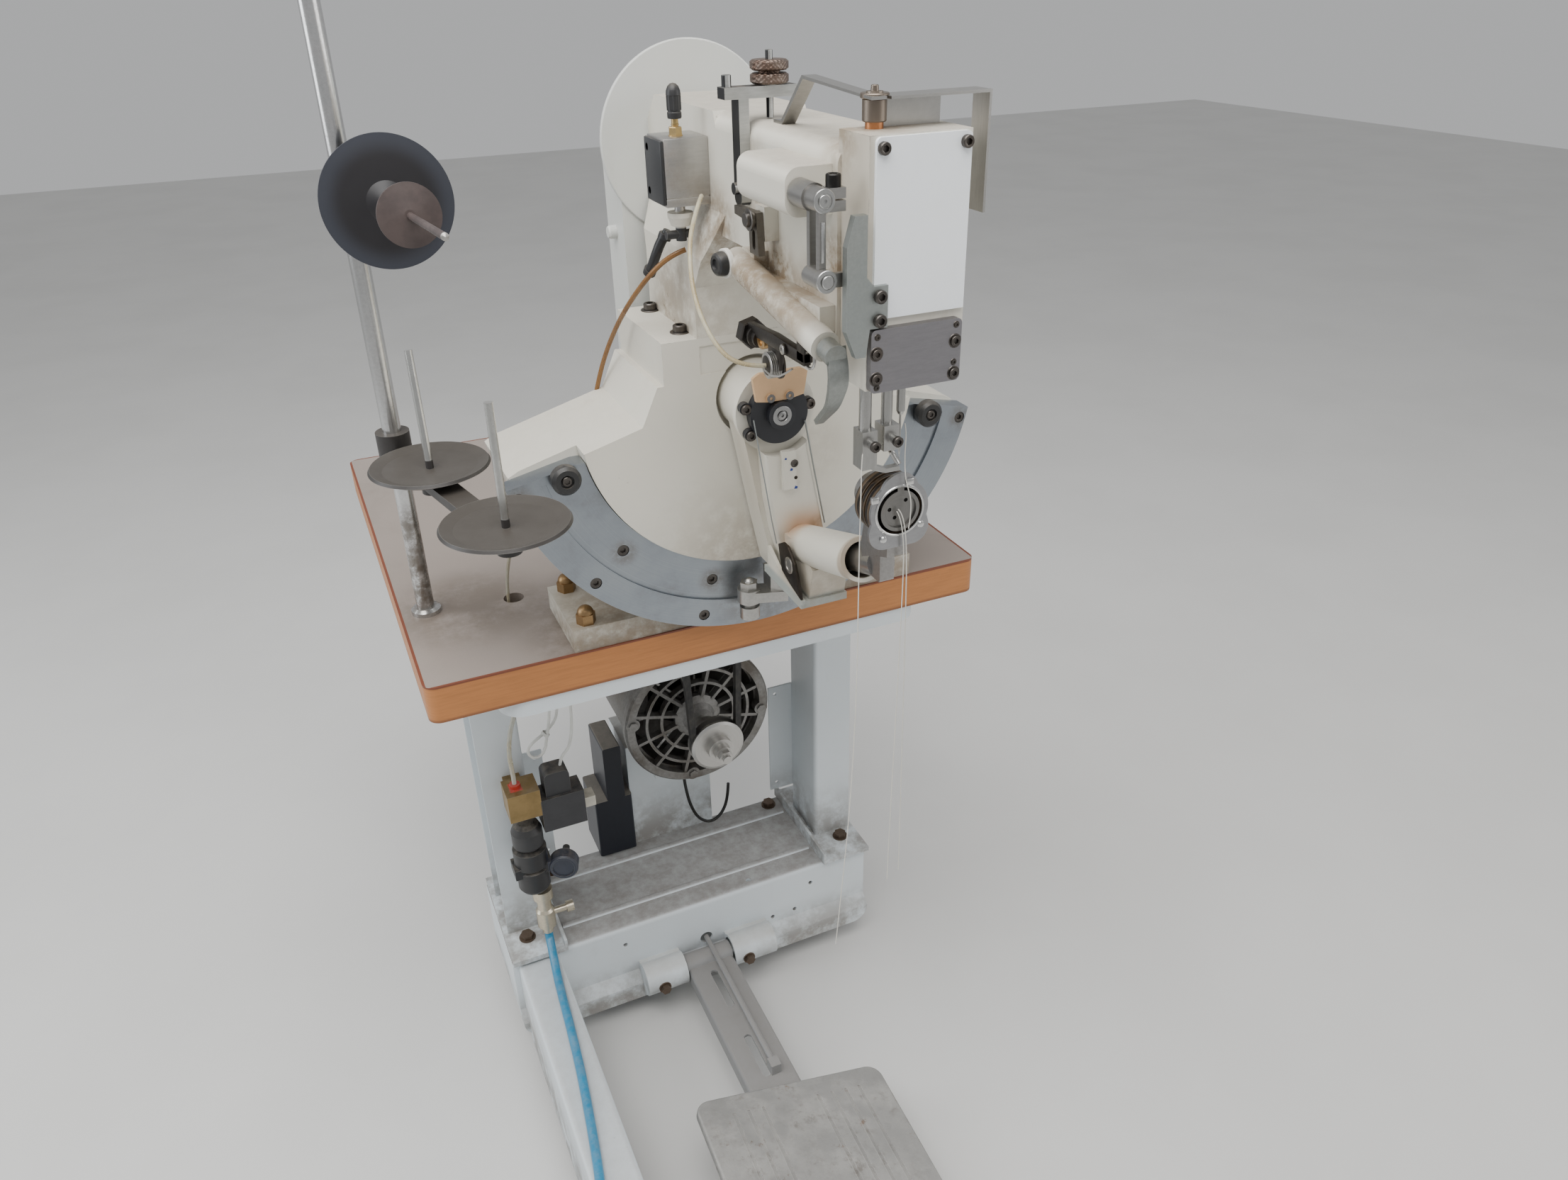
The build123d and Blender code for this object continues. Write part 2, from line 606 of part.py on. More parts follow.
thread_rod -= reel_place * Pos(0, 0, -12 + gap) * Cylinder(30, 20, align=standing)

# Spool arm with two dishes and two pins
arm_level = 971
dish_low = 961
dish_radius = 62
dish_a = (-319, 86)
dish_b = (-279, -90)
dish = turned((0, 0), (16, 0), (20, 5), (dish_radius - 8, 8), (dish_radius, 12), (dish_radius - 2, 15),
              (dish_radius - 14, 11), (12, 9), (0, 9))


def flat_link(start, end, width, low, high):
    span = Vector(end[0] - start[0], end[1] - start[1], 0)
    turn = math.degrees(math.atan2(span.Y, span.X))
    mid = Pos((start[0] + end[0]) / 2, (start[1] + end[1]) / 2)
    return along_z(mid * Rot(Z=turn) * SlotOverall(span.length + width, width), low, high)


spool_arm = rod_z_way(18, arm_level - 18, arm_level + 14, rod_x, rod_y)
spool_arm += flat_link((rod_x, rod_y), dish_a, 26, dish_low - 10, dish_low)
spool_arm += flat_link(dish_a, dish_b, 26, dish_low - 10, dish_low)
for x, y in (dish_a, dish_b):
    spool_arm += Pos(x, y, dish_low - 1) * dish
    spool_arm += rod_z_way(12, dish_low - 18, dish_low, x, y)
spool_arm -= rod_z_way(rod_radius, arm_level - 30, arm_level + 30, rod_x, rod_y)
pin_top = dish_low + 128
spool_arm += bar_between((dish_a[0], dish_a[1], dish_low + 4), (dish_a[0] + 1, dish_a[1] + 20, pin_top), 4)
spool_arm += bar_between((dish_b[0], dish_b[1], dish_low + 4), (dish_b[0] + 1, dish_b[1] + 4, pin_top), 4)

# Fan body: rear sector, raised front sector, shoulders, foot and the flange block
shoulder = outline((-104, 1057), (-122, 1018), (-180, 1002), (-245, 984), (-268, 972), (-275, 700),
                   (275, 700), (268, 972), (245, 984), (180, 1002), (122, 1018), (104, 1057))
rear_sector = shoulder & Pos(0, axis_z) * Circle(body_radius)
fan_body = along_y(rear_sector, 0, body_back)
front_sector = shoulder & Pos(0, axis_z) * Circle(sector_radius)
fan_body += along_y(front_sector, body_front, 1)
fan_body += block(-foot_half, foot_half, 2, body_back + 1, table_top, foot_top)
fan_body += block(-block_half, block_half, body_front, body_back, block_low, block_top)
fan_body -= block(-58, 58, body_front - 1, body_front + 1.5, block_low + 8, block_top - 8)
fan_body -= rod_y_way(recess_radius, body_front - 1, body_front + 14, 0, axis_z)
fan_body -= rod_y_way(pivot_radius + running, body_front - 1, body_back + 1, 0, axis_z)

# Arm casting: column, arm, head and the bosses
column_side = outline((body_front, block_top), (body_back, block_top), (body_back, 1160), (arm_back, 1230),
                      (arm_back, arm_top_z - 24), (arm_back - 24, arm_top_z), (-60, arm_top_z), (-90, 1240),
                      (-60, 1190), (body_front, 1150))
column = along_x(column_side, -column_half, column_half)
column_plan = Pos(0, (arm_back - 100) / 2) * RectangleRounded(2 * column_half, arm_back + 100, 10)
column &= along_z(column_plan, 1000, 1400)
column &= along_y(outline((-column_half, block_top), (column_half, block_top), (column_half, 1180),
                          (arm_half, 1225), (arm_half, 1400), (-arm_half, 1400), (-arm_half, 1225),
                          (-column_half, 1180)), -200, 200)
arm_side = outline((arm_back - 20, arm_top_z), (head_back, arm_top_z), (head_back, 1150), (-280, 1150),
                   (-200, 1192), (-140, arm_low_z), (0, arm_low_z), (arm_back - 20, arm_low_z))
arm_bar = along_x(arm_side, -arm_half, arm_half)
arm_bar = fillet(arm_bar.edges().filter_by(Axis.Y).group_by(Axis.Z)[-1], 14)
head_face = head_front + plate_thick
head = block(head_left, head_right, head_face, head_back + 4, head_low + 1, head_top)
arm_casting = column + arm_bar + head
boss_x = -72
boss_z = 1280
boss_left = boss_x - 11
bracket_back = -127
boss = block(boss_left, -arm_half + 1, -295, -205, boss_z - 18, boss_z + 17)
boss = fillet(boss.edges().filter_by(Axis.Y).group_by(Axis.X)[0], 11)
arm_casting += boss
lift_rear = Vector(-62, -145, 1200)
lift_front = Vector(-62, -318, 1171)
lift_radius = 12
lift_tube = bar_between(lift_rear, lift_front, lift_radius)
arm_casting += lift_tube
arm_casting += block(-58, -40, -300, -160, 1176, 1196) + block(-58, -40, -175, -150, 1190, 1212)
rocker_shaft_radius = 7
arm_casting += block(-57.5, -44, -198, -180, 1225, 1252)
shaft_bore = rod_y_way(main_shaft_radius + running, shaft_front - 2, arm_back + 1, 0, shaft_z)
arm_casting -= shaft_bore
for x, radius in ((presser_x, 5), (feed_x, 4.5), (needle_x, 3.5)):
    arm_casting -= rod_z_way(radius + running, head_low - 1, head_top - 9, x, bar_y)
lift_line = lift_rear - lift_front
stub_front = lift_front - lift_line * 0.1
arm_casting -= bar_between(lift_front + lift_line * 0.3, stub_front, 5 + running)
arm_casting -= rod_y_way(rocker_shaft_radius + running, -300, -240, boss_x, boss_z)
head_window = block(head_left - 1, head_left + 14, -342, -318, 1210, 1246)
arm_casting -= head_window

# Arc guide with a raised ridge and sloped ends
guide_face = Pos(0, axis_z) * Circle(guide_outer) - Pos(0, axis_z) * Circle(guide_inner)
guide_face &= outline((-193, 990), (-264, 975), (-290, 960), (-290, 700), (290, 700), (290, 960), (264, 975),
                      (193, 990))
arc_guide = along_y(guide_face, guide_front, 0)
ridge_face = (Pos(0, axis_z) * Circle(237) - Pos(0, axis_z) * Circle(231)) & outline(
    (-250, 975), (-250, 700), (250, 700), (250, 975))
arc_guide -= along_y(ridge_face, guide_front - 1, guide_front + 2.5)
guide_screw_spots = []
for radius, angle in ((212, 15.2), (256, 15.2), (212, 46), (257, 46), (262, 74.8)):
    turn = math.radians(angle)
    for side in (-1, 1):
        guide_screw_spots.append((side * radius * math.sin(turn), axis_z - radius * math.cos(turn)))
for x, z in guide_screw_spots:
    arc_guide -= rod_y_way(6.5, guide_front - 1, guide_front + 4, x, z)

# Screws in the guide, the plates and the flange block
screws = []
for x, z in guide_screw_spots:
    screw = rod_y_way(6.5, guide_front + 1, guide_front + 4, x, z)
    screws.append(screw - rod_y_way(2.6, guide_front, guide_front + 2.5, x, z))
for x in (-67, 67):
    for y in (1, 93):
        screws.append(Pos(x, y, block_top) * (Cylinder(6.8, 8, align=(Align.CENTER, Align.CENTER, Align.MIN))
                      - Pos(0, 0, 4) * extrude(RegularPolygon(4, 6), 5)))
plate_front = head_front - 4
for x, z in ((-37, 1171), (-37, 1152), (30, 1172), (30, 1147)):
    screws.append(rod_y_way(4, plate_front - 2, plate_front, x, z))
for x, z in ((-33, head_top - 8), (33, head_top - 8)):
    screws.append(rod_y_way(4.5, head_front - 2, head_front - 0.0, x, z))
for z in (1213.5, 1196):
    screws.append(rod_y_way(5, plate_front - 4, plate_front, -35.5, z))
machine_screws = group(screws)

# Stop knobs at both ends of the guide
knob_shape = turned((0, 0), (11, 0), (11, 3), (15, 4), (15, 13), (12, 16), (7, 16), (7, 13), (0, 13))
stop_knobs = group([Pos(x, guide_front, 980) * Rot(X=90) * knob_shape for x in (-206, 206)])

# Brass cap nuts on the foot
nut_shape = extrude(RegularPolygon(11, 6), 12) + Pos(0, 0, 12) * Sphere(9.2)
nut_shape -= Pos(0, 0, -20) * Box(60, 60, 40)
nut_spots = [(x, y) for x in (-191, 191) for y in (16, 98)]
cap_nuts = group([Pos(x, y, foot_top) * nut_shape for x, y in nut_spots])

# Face plate, lower plate and cam plate on the head
face_top = head_top - 1
face_outline = outline((-28, 1195.5), (38, 1195.5), (38, face_top), (-38, face_top), (-38, 1221), (-28, 1221))
face_plate = along_y(face_outline, head_front, head_face)
face_plate = fillet(face_plate.edges().filter_by(Axis.Y).group_by(Axis.Z)[-1], 4)
lower_plate = along_y(Pos(-3, 1165) * RectangleRounded(77, 48, 4), plate_front, head_face)
cam_outline = outline((-56, 1271), (-46, 1271), (-46, 1228), (-40, 1221), (-28.5, 1221), (-28.5, 1190.3),
                      (-43, 1190.3), (-46, 1170), (-54, 1170), (-62, 1190), (-62, 1250))
cam_plate = along_y(cam_outline, plate_front, head_face)

# Tension bracket with its post, and the knurled thumb nuts
bracket_top = arm_top_z + 26
bracket_wall = 9
bracket_front = bracket_back - 16
bracket_left = -arm_half - bracket_wall
tension_bracket = block(bracket_left, -arm_half, bracket_front, bracket_back, arm_low_z + 38, bracket_top)
tension_bracket = fillet(tension_bracket.edges().filter_by(Axis.X).group_by(Axis.Z)[0], 7)
tension_bracket += block(bracket_left - 12, -2, bracket_front, bracket_back, bracket_top - bracket_wall,
                         bracket_top)
tension_bracket += rod_z_way(4, bracket_top - 1, bracket_top + 9, bracket_left - 7, bracket_front + 8)
bracket_screw_z = arm_low_z + 52
tension_bracket += rod_x_way(5, bracket_left - 4, bracket_left + 1, bracket_front + 8, bracket_screw_z)
post_x = -23
post_y = bracket_front + 8
post_radius = 3
tension_bracket += rod_z_way(post_radius, arm_top_z + 1, bracket_top + 26, post_x, post_y)
tension_bracket += rod_z_way(7, bracket_top - 1, bracket_top + 0.5, post_x, post_y)
thumb = turned((post_radius + running, 0), (14, 0), (16, 1.5), (16, 6.5), (14, 8), (post_radius + running, 8))
nut_neck = turned((post_radius + running, -0.5), (9, -0.5), (9, 2.5), (post_radius + running, 2.5))
nut_low = bracket_top + 1
thumb_nuts = Pos(post_x, post_y, nut_low) * thumb
thumb_nuts += Pos(post_x, post_y, nut_low + 8) * nut_neck
thumb_nuts += Pos(post_x, post_y, nut_low + 10) * thumb

# Leaf spring over the head, and the guard strip
spring_thick = 2.5
spring_low = arm_top_z + 31
spring_high = arm_top_z + 36.5
spring_side = outline((-160, arm_top_z), (-176, arm_top_z), (-216, spring_high), (-326, spring_low),
                      (-326, spring_low + spring_thick - 0.5), (-214, spring_high + spring_thick),
                      (-174, arm_top_z + spring_thick), (-160, arm_top_z + spring_thick))
leaf_spring = along_x(spring_side, -31, -19)
leaf_spring += rod_z_way(6, head_top, spring_low, -21, -312)
guard_sheet = 2
guard_top = head_top + 22
guard_right = 66
guard_drop = guard_top - 85
guard_inner = guard_right - guard_sheet
guard_strip = along_y(outline((-16, guard_top), (guard_right, guard_top), (guard_right, guard_drop),
                              (guard_inner, guard_drop), (guard_inner, guard_top - guard_sheet),
                              (-16, guard_top - guard_sheet)), -327, -305)
guard_strip += block(-16, 35, -308, -305, head_top, guard_top - guard_sheet / 2)

# Lifting cylinder and its rod
cylinder_block = block(-91, -arm_half, -46, 0, 1229, 1288)
cylinder_block = fillet(cylinder_block.edges().filter_by(Axis.Z).group_by(Axis.X)[0], 4)
cylinder_block += rod_z_way(10, 1288, 1302, -70, -30)
cylinder_block += Pos(-70, -30, 1302) * turned((0, 0), (8, 0), (8, 4), (11, 5), (11, 26), (8, 31), (0, 31))
lift_rod_radius = 5
cylinder_block -= rod_z_way(lift_rod_radius + running, 1200, 1270, -70, -30)
cylinder_rod = rod_z_way(lift_rod_radius, 1196, 1262, -70, -30)
cylinder_rod += Pos(-70, -30, 1210) * turned((0, 0), (9, 0), (12, 8), (12, 12), (0, 12))
cylinder_rod += rod_x_way(4, -85, -column_half - 1, -30, 1202)

# Rocker lever on its shaft, with the short link into the head
link_x = -73
link_z = 1226
lever_front = -336
lever_back = -316
link_pin = 4
rocker_lever = rod_y_way(rocker_shaft_radius, lever_front, -246, boss_x, boss_z)
rocker_lever += rod_y_way(8.5, lever_front, lever_back, boss_x, boss_z)
rocker_lever += rod_y_way(10, lever_back - 4, -296, boss_x, boss_z)
rocker_lever += block(boss_x + 4, boss_x + 17, lever_front, lever_front + 12, boss_z - 8, boss_z + 8)
rocker_lever += rod_z_way(5, boss_z + 7, boss_z + 16, boss_x + 10, lever_front + 6)
for y in (lever_front, lever_back - 5):
    rocker_lever += block(boss_x - 4, boss_x + 1.5, y, y + 5, link_z + 3, boss_z - 4)
rocker_lever += rod_y_way(7.5, lever_front, lever_back, link_x, link_z)
rocker_lever -= rod_y_way(link_pin + running, lever_front - 4, lever_back - 2, link_x, link_z)
rocker_lever -= block(boss_x + 8, boss_x + 18, lever_front - 1, lever_front + 13, boss_z - 0.6, boss_z + 0.6)
rocker_link = rod_y_way(link_pin, -344, lever_back - 4, link_x, link_z)
rocker_link += rod_y_way(8, -342, -336.5, link_x, link_z)
rocker_link += block(link_x, -33, -341.5, -337, link_z - 5, link_z + 5)

# Slotted lever beside the arm
slotted_outline = outline((-199, 1214), (-181, 1214), (-180, 1238), (-150, 1240), (-150, 1247), (-196, 1248))
slotted_lever = along_x(slotted_outline, -64, -58)
slotted_lever -= along_x(Pos(-190, 1226) * Rot(Z=90) * SlotOverall(16, 6), -70, -50)
slotted_pin = 4
slotted_lever += rod_x_way(6.5, -67, -58, -189, 1242)
slotted_lever += rod_x_way(slotted_pin, -58, -46, -189, 1242)
arm_casting -= rod_x_way(slotted_pin + running, -59, -44, -189, 1242)

# Lift lever, a curved blade that narrows to its tip, on the cross shaft
finger_path = FilletPolyline((-330, 1174), (-338, 1150), (-326, 1126), (-302, 1106), radius=[30, 36])
finger_face = outline((-68, 1182), (-52, 1182), (-52, 1146), (-57, 1100), (-63, 1100), (-68, 1146))
lift_lever = along_x(trace(finger_path, 4), -70, -50) & along_y(finger_face, -350, -290)
lift_lever += bar_between(lift_front + lift_line * 0.25, stub_front, 5)
lift_lever += bar_between(lift_front - lift_line * 0.015, stub_front, 9)

# Needle bar, presser bar and feed bar
needle_bar = rod_z_way(3.5, 1115, 1270, needle_x, bar_y)
needle_bar += Pos(needle_x, bar_y, 1110) * turned((0, 0), (2, 0), (3.5, 3), (3.5, 6), (0, 6))
needle_bar += Pos(needle_x, bar_y, 1072) * turned((0, 0), (0.9, 6), (0.9, 40), (0, 40))
presser_bar = rod_z_way(5, 1090, 1290, presser_x, bar_y)
presser_bar += block(-37, -24, -333, -317, 1071, 1103)
toe = outline((-32, 1073), (-24, 1073), (-15, 1069), (-3, 1069), (-3, 1065.5), (-16, 1065.5), (-28, 1070))
presser_bar += along_y(toe, -333, -326)
presser_bar += rod_y_way(4, -338, -330, -29, 1092)
feed_bar = rod_z_way(4.5, 1090, 1290, feed_x, bar_y)
feed_bar += block(-18, -4.5, -333, -317, 1084, 1105)
feed_bar += rod_y_way(4, -338, -330, -9, 1093)
feed_path = FilletPolyline((-8, -320, 1086), (-1, -315, 1075), (2, -323, 1066), radius=5)
feed_bar += sweep((feed_path ^ 0) * Circle(2.4), path=feed_path)

# Swing arm: hub, ribbed arm, foot plate and the elbow housing
swing_arm = rod_y_way(pivot_radius, body_front + 5, body_back - 10, 0, axis_z)
swing_arm += rod_y_way(38, -72, body_front + 13 - gap, 0, axis_z)
swing_arm += rod_y_way(42.5, -80, -72, 0, axis_z)
arm_base = along_y(outline((-36, axis_z), (-26, 982), (-14.5, 917), (-1, 849), (52, 849), (53, 893),
                           (44, 985), (36, axis_z)), -70, body_front - 4)
arm_rib = along_y(outline((-14, axis_z), (-17, 994), (-13, 941), (-6, 899), (2, 868), (50, 868), (49, 893),
                          (42, 930), (30, 990), (28, axis_z)), -92, -68)
arm_rib = fillet(arm_rib.edges().group_by(Axis.Y)[0], 3)
swing_arm += arm_base + arm_rib
foot_low_z = 845
swing_arm -= rod_y_way(44, -100, -80, 0, axis_z)
swing_arm += block(-8, 44, -153, -60, foot_low_z, foot_low_z + 8)
swing_arm += along_x(outline((-94, 867), (-155, 855), (-155, 850), (-70, 850), (-70, 880)), -8, -4)
elbow_rear = Vector(24, -76, 880)
elbow_front = Vector(5, -258, 948)
swing_arm += bar_between(elbow_rear, elbow_front, 21)
swing_arm += along_x(outline((-70, 850), (-150, 850), (-160, 890), (-120, 905), (-70, 900)), 2, 42)
mouth_start = elbow_front + (elbow_rear - elbow_front) * 0.35
mouth_end = elbow_front + (elbow_front - elbow_rear) * 0.2
swing_arm -= bar_between(mouth_start, mouth_end, 17)
swing_arm += block(0, 15, -96, -90, 952, 994)

# Disc on the hub with the bushing, and the tan sector plate
hub_disc = rod_y_way(31, -90, -80, 0, axis_z) + rod_y_way(14, -97, -89, 0, axis_z)
hub_disc -= rod_y_way(6, -98, -94, 0, axis_z)
for x, z in ((-34.5, 1042), (-30, 1014), (34.5, 1037)):
    hub_disc += rod_y_way(6, -87, -80, x, z)
sector_face = Pos(0, axis_z) * Circle(50) & outline((-26, 1050), (-14, 1048), (10, 1048), (25, 1051),
                                                    (30, 1078), (-30, 1078))
sector_plate = along_y(sector_face, -94, -90)
for x, z in ((-11, 1052), (9, 1052)):
    sector_plate += rod_y_way(4, -96, -93, x, z)

# Arc clamp in front of the guide
clamp_y = -48
arc_clamp = rod_z_way(7, 788, 828, -22, clamp_y) + rod_z_way(11, 786, 800, -22, clamp_y)
arc_clamp += rod_z_way(13, 806, 822, -22, clamp_y)
arc_clamp += Pos(-22, clamp_y, 822) * extrude(RegularPolygon(10, 6), 8)
arc_clamp += Pos(-22, clamp_y, 828) * Sphere(6)
arc_clamp += along_z(outline((-24, clamp_y - 12), (-24, clamp_y + 12), (8, clamp_y + 2),
                             (14, clamp_y - 24)), 808, 820)
arc_clamp += along_z(outline((-2, clamp_y - 14), (-2, clamp_y + 6), (14, clamp_y + 2), (14, clamp_y - 24)),
                     808, foot_low_z)

# Horn: a steel elbow from the housing mouth up to the hook
horn = bar_between(elbow_front + (elbow_rear - elbow_front) * 0.3, Vector(3, -296, 963), 13)
horn += bar_between(mouth_start, mouth_start + (elbow_front - elbow_rear) * 0.16, 15)
horn += along_x(outline((-312, 953), (-282, 953), (-276, 975), (-282, 1000), (-282, axis_z), (-301, axis_z),
                        (-301, 1000), (-312, 990)), -7, 7)
horn = fillet(horn.edges().filter_by(Axis.X), 2)
horn += rod_y_way(17, -301, -282, 0, hook_z)
drum_clear = drum_radius + 0.6
horn += along_x(outline((-327, 985), (-300, 975), (-300, 1001), (-327, 1001)), -9, 9)
horn -= rod_y_way(drum_clear, -327.5, drum_back + gap, 0, hook_z)
horn -= rod_y_way(6 + running, -320, -270, 0, hook_z)

# Hook ring plate, hook drum and bobbin case
ring_corners = [Pos(0, 1043) * Circle(18), Pos(-13, 1010) * Circle(15), Pos(13, 1010) * Circle(15)]
ring_shape = make_hull(Sketch(children=[c.face() for c in ring_corners]).edges())
ring_hole = Pos(0, hook_z) * Circle(22)
hook_ring = along_y(ring_shape + Pos(0, hook_z) * Circle(27) - ring_hole, ring_front, ring_front + ring_thick)
for x, z in ((-24, 1042), (8, 1053)):
    hook_ring += block(x - 3, x + 3, ring_front - 2, ring_front + 1, z - 2.5, z + 2.5)
for x, z in ((-15, 1005), (20, 1012)):
    hook_ring += rod_y_way(3, ring_front - 1.5, ring_front + 1, x, z)
hook_drum = along_y(Pos(0, hook_z) * Circle(drum_radius) - Pos(0, hook_z) * Circle(20.5),
                    ring_front + ring_thick + gap, drum_back)
hook_drum += rod_y_way(drum_radius - 1, drum_back - 4, drum_back, 0, hook_z)
hook_drum += rod_y_way(6, drum_back - 2, -284, 0, hook_z)
for y in (-320, -313):
    drum_groove = Pos(0, hook_z) * (Circle(drum_radius + 1) - Circle(drum_radius - 1.5))
    hook_drum -= along_y(drum_groove, y, y + 2)
bobbin_case = rod_y_way(18, ring_front - 1, drum_back - 6, 0, hook_z)
bobbin_case -= along_y(Pos(0, hook_z) * Circle(15), ring_front - 2, ring_front + 1)
for x, z in ((-9, 1030), (-4, 1022), (6, 1036)):
    bobbin_case -= rod_y_way(1.8, ring_front - 2, ring_front + 5, x, z)
bobbin_case += block(-3, 3, ring_front - 1, ring_front + 2, hook_z + 17, hook_z + 21.7)

# Tension unit under the arm
tension_unit = rod_x_way(12, -58, -48, -196, 1121) + rod_x_way(14, -48.5, -45.5, -196, 1121)
tension_unit += block(-54, -46, -260, -140, 1136, 1149)
tension_unit += block(-54, -46, -206, -186, 1115, 1140)
tension_unit += along_y(Pos(-48, 1134) * RegularPolygon(12, 6), -164, -134)
tension_unit += block(-54, -arm_half, -262, -246, 1140, 1171)

# Thin tubes and cables
oil_tube = cord("oil tube", ((-63, -20, 1185), (-78, -16, 1180), (-96, -2, 1160), (-108, 30, 1128),
                             (-114, 72, 1090),
                             (-122, 104, 1046), (-132, 119, 996), (-140, 119, 946), (-146, 117, 896)), 5)
clear_tube = cord("clear tube", ((-60, -62, 1240), (-76, -90, 1235), (-96, -120, 1210), (-104, -150, 1170),
                                 (-96, -180, 1135), (-78, -192, 1122), (-58.6, -196, 1121)), 4)
motor_cable = cord("motor cable",
                   ((-4, 300, shelf_top - 2 * sheet - 0.2), (-4, 300, 330), (-2, 300, 290), (4, 300, 250),
                    (16, 300, 218), (36, 300, 202), (56, 300, 212), (68, 300, 240), (70, 300, 270)), 5)
valve_tube = cord("valve tube", ((-276, 170, 482), (-276, 170, 502), (-277, 171, 530), (-270, 176, 562),
                                 (-254, 184, 592), (-232, 196, 620), (-212, 206, 652), (-202, 210, 690),
                                 (-202, 210, board_low)), 6)
tube_x = stand_mid - frame_width / 2 + rail_width + 2.3
table_tube = cord("table tube", ((tube_x, tube_hole_y, frame_low + 2), (tube_x, tube_hole_y, 745),
                                 (tube_hole_x - 4, tube_hole_y - 2, 800),
                                 (tube_hole_x + 10, tube_hole_y - 6, 840),
                                 (tube_hole_x + 36, tube_hole_y - 12, 870),
                                 (tube_hole_x + 66, tube_hole_y - 20, 888)), 4)
thin_tubes = group([oil_tube, clear_tube, motor_cable, valve_tube, table_tube])

parts = {
    "table_board": table_board, "table_edging": table_edging, "stand_frame": stand_frame,
    "base_beam": base_beam, "left_foot_rail": left_foot_rail, "stand_bolts": stand_bolts,
    "levelling_feet": levelling_feet, "pedal_bracket": pedal_bracket, "pedal_arm": pedal_arm,
    "pedal_plate": pedal_plate, "motor_pedestal": motor_pedestal, "motor_body": motor_body,
    "motor_end_bell": motor_end_bell, "motor_pulley": motor_pulley, "drive_belt": drive_belt,
    "top_pulley": top_pulley, "belt_cover": belt_cover, "control_box": control_box,
    "valve_block": valve_block, "regulator_body": regulator_body, "regulator_knob": regulator_knob,
    "shutoff_valve": shutoff_valve, "air_hose": air_hose, "hose_coil": hose_coil,
    "hose_coupling": hose_coupling, "thread_rod": thread_rod, "reel_disc": reel_disc,
    "spool_arm": spool_arm, "fan_body": fan_body, "arm_casting": arm_casting,
    "arc_guide": arc_guide, "machine_screws": machine_screws, "stop_knobs": stop_knobs,
    "cap_nuts": cap_nuts, "face_plate": face_plate, "lower_plate": lower_plate, "cam_plate": cam_plate,
    "tension_bracket": tension_bracket, "thumb_nuts": thumb_nuts, "leaf_spring": leaf_spring,
    "guard_strip": guard_strip, "cylinder_block": cylinder_block, "cylinder_rod": cylinder_rod,
    "rocker_lever": rocker_lever, "rocker_link": rocker_link, "slotted_lever": slotted_lever,
    "lift_lever": lift_lever, "needle_bar": needle_bar, "presser_bar": presser_bar, "feed_bar": feed_bar,
    "swing_arm": swing_arm, "hub_disc": hub_disc, "sector_plate": sector_plate, "arc_clamp": arc_clamp,
    "horn": horn, "hook_ring": hook_ring, "hook_drum": hook_drum, "bobbin_case": bobbin_case,
    "tension_unit": tension_unit, "thin_tubes": thin_tubes,
}

# The shared origin: middle of the object, on the floor
cord_nodes = ("air_hose", "hose_coil", "hose_coupling", "thin_tubes")
boxes = [shape.bounding_box() for name, shape in parts.items() if name not in cord_nodes]
centre_x = (min(b.min.X for b in boxes) + max(b.max.X for b in boxes)) / 2
centre_y = (min(b.min.Y for b in boxes) + max(b.max.Y for b in boxes)) / 2
to_origin = Pos(-centre_x, -centre_y, 0)

os.makedirs("parts", exist_ok=True)
for name, shape in parts.items():
    export_step(to_origin * shape, "parts/" + name + ".step")
print("pieces", len(parts), "offset", centre_x, centre_y)
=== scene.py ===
import math

import bmesh
import bpy
from bpy.props import FloatProperty, FloatVectorProperty, IntProperty, PointerProperty
from mathutils import Matrix, Vector


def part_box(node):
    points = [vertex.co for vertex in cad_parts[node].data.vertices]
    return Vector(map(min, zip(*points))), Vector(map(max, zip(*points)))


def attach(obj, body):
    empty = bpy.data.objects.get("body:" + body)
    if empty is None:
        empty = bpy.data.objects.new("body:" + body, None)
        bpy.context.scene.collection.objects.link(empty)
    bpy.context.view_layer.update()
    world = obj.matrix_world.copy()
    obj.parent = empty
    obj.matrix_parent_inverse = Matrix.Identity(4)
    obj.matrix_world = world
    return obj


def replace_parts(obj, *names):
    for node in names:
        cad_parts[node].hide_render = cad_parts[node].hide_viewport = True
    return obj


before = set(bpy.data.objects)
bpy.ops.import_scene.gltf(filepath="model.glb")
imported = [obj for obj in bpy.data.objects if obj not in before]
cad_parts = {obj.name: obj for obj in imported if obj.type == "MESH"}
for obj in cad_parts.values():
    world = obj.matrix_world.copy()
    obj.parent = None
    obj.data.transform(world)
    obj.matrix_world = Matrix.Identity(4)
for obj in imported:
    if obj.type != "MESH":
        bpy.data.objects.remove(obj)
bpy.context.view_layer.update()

bl_info = {
    "name": "Sole stitching machine",
    "version": (1, 0, 0),
    "blender": (4, 5, 0),
    "location": "3D View > Sidebar > Stitcher",
    "description": "Finishes, cords and small details of a sole stitching machine on its stand",
    "category": "Object",
}

GUIDE_LOW, GUIDE_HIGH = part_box("arc_guide")
MIDDLE = Vector(((GUIDE_LOW.x + GUIDE_HIGH.x) / 2, GUIDE_HIGH.y, 0))


def spot(x, y, z):
    """A point in millimetres from the machine's centre plane, the guide's back and the floor."""
    return MIDDLE + Vector((x, y, z)) / 1000


LEFT, FRONT, BACK, UP = (-1, 0, 0), (0, -1, 0), (0, 1, 0), (0, 0, 1)

# Heights over the floor, in millimetres, of the line that the arm swings about and of the hook's
SWING_HEIGHT = 1033
HOOK_HEIGHT = 1028
SWING_LINE = spot(0, 0, SWING_HEIGHT)
HOOK_LINE = spot(0, 0, HOOK_HEIGHT)


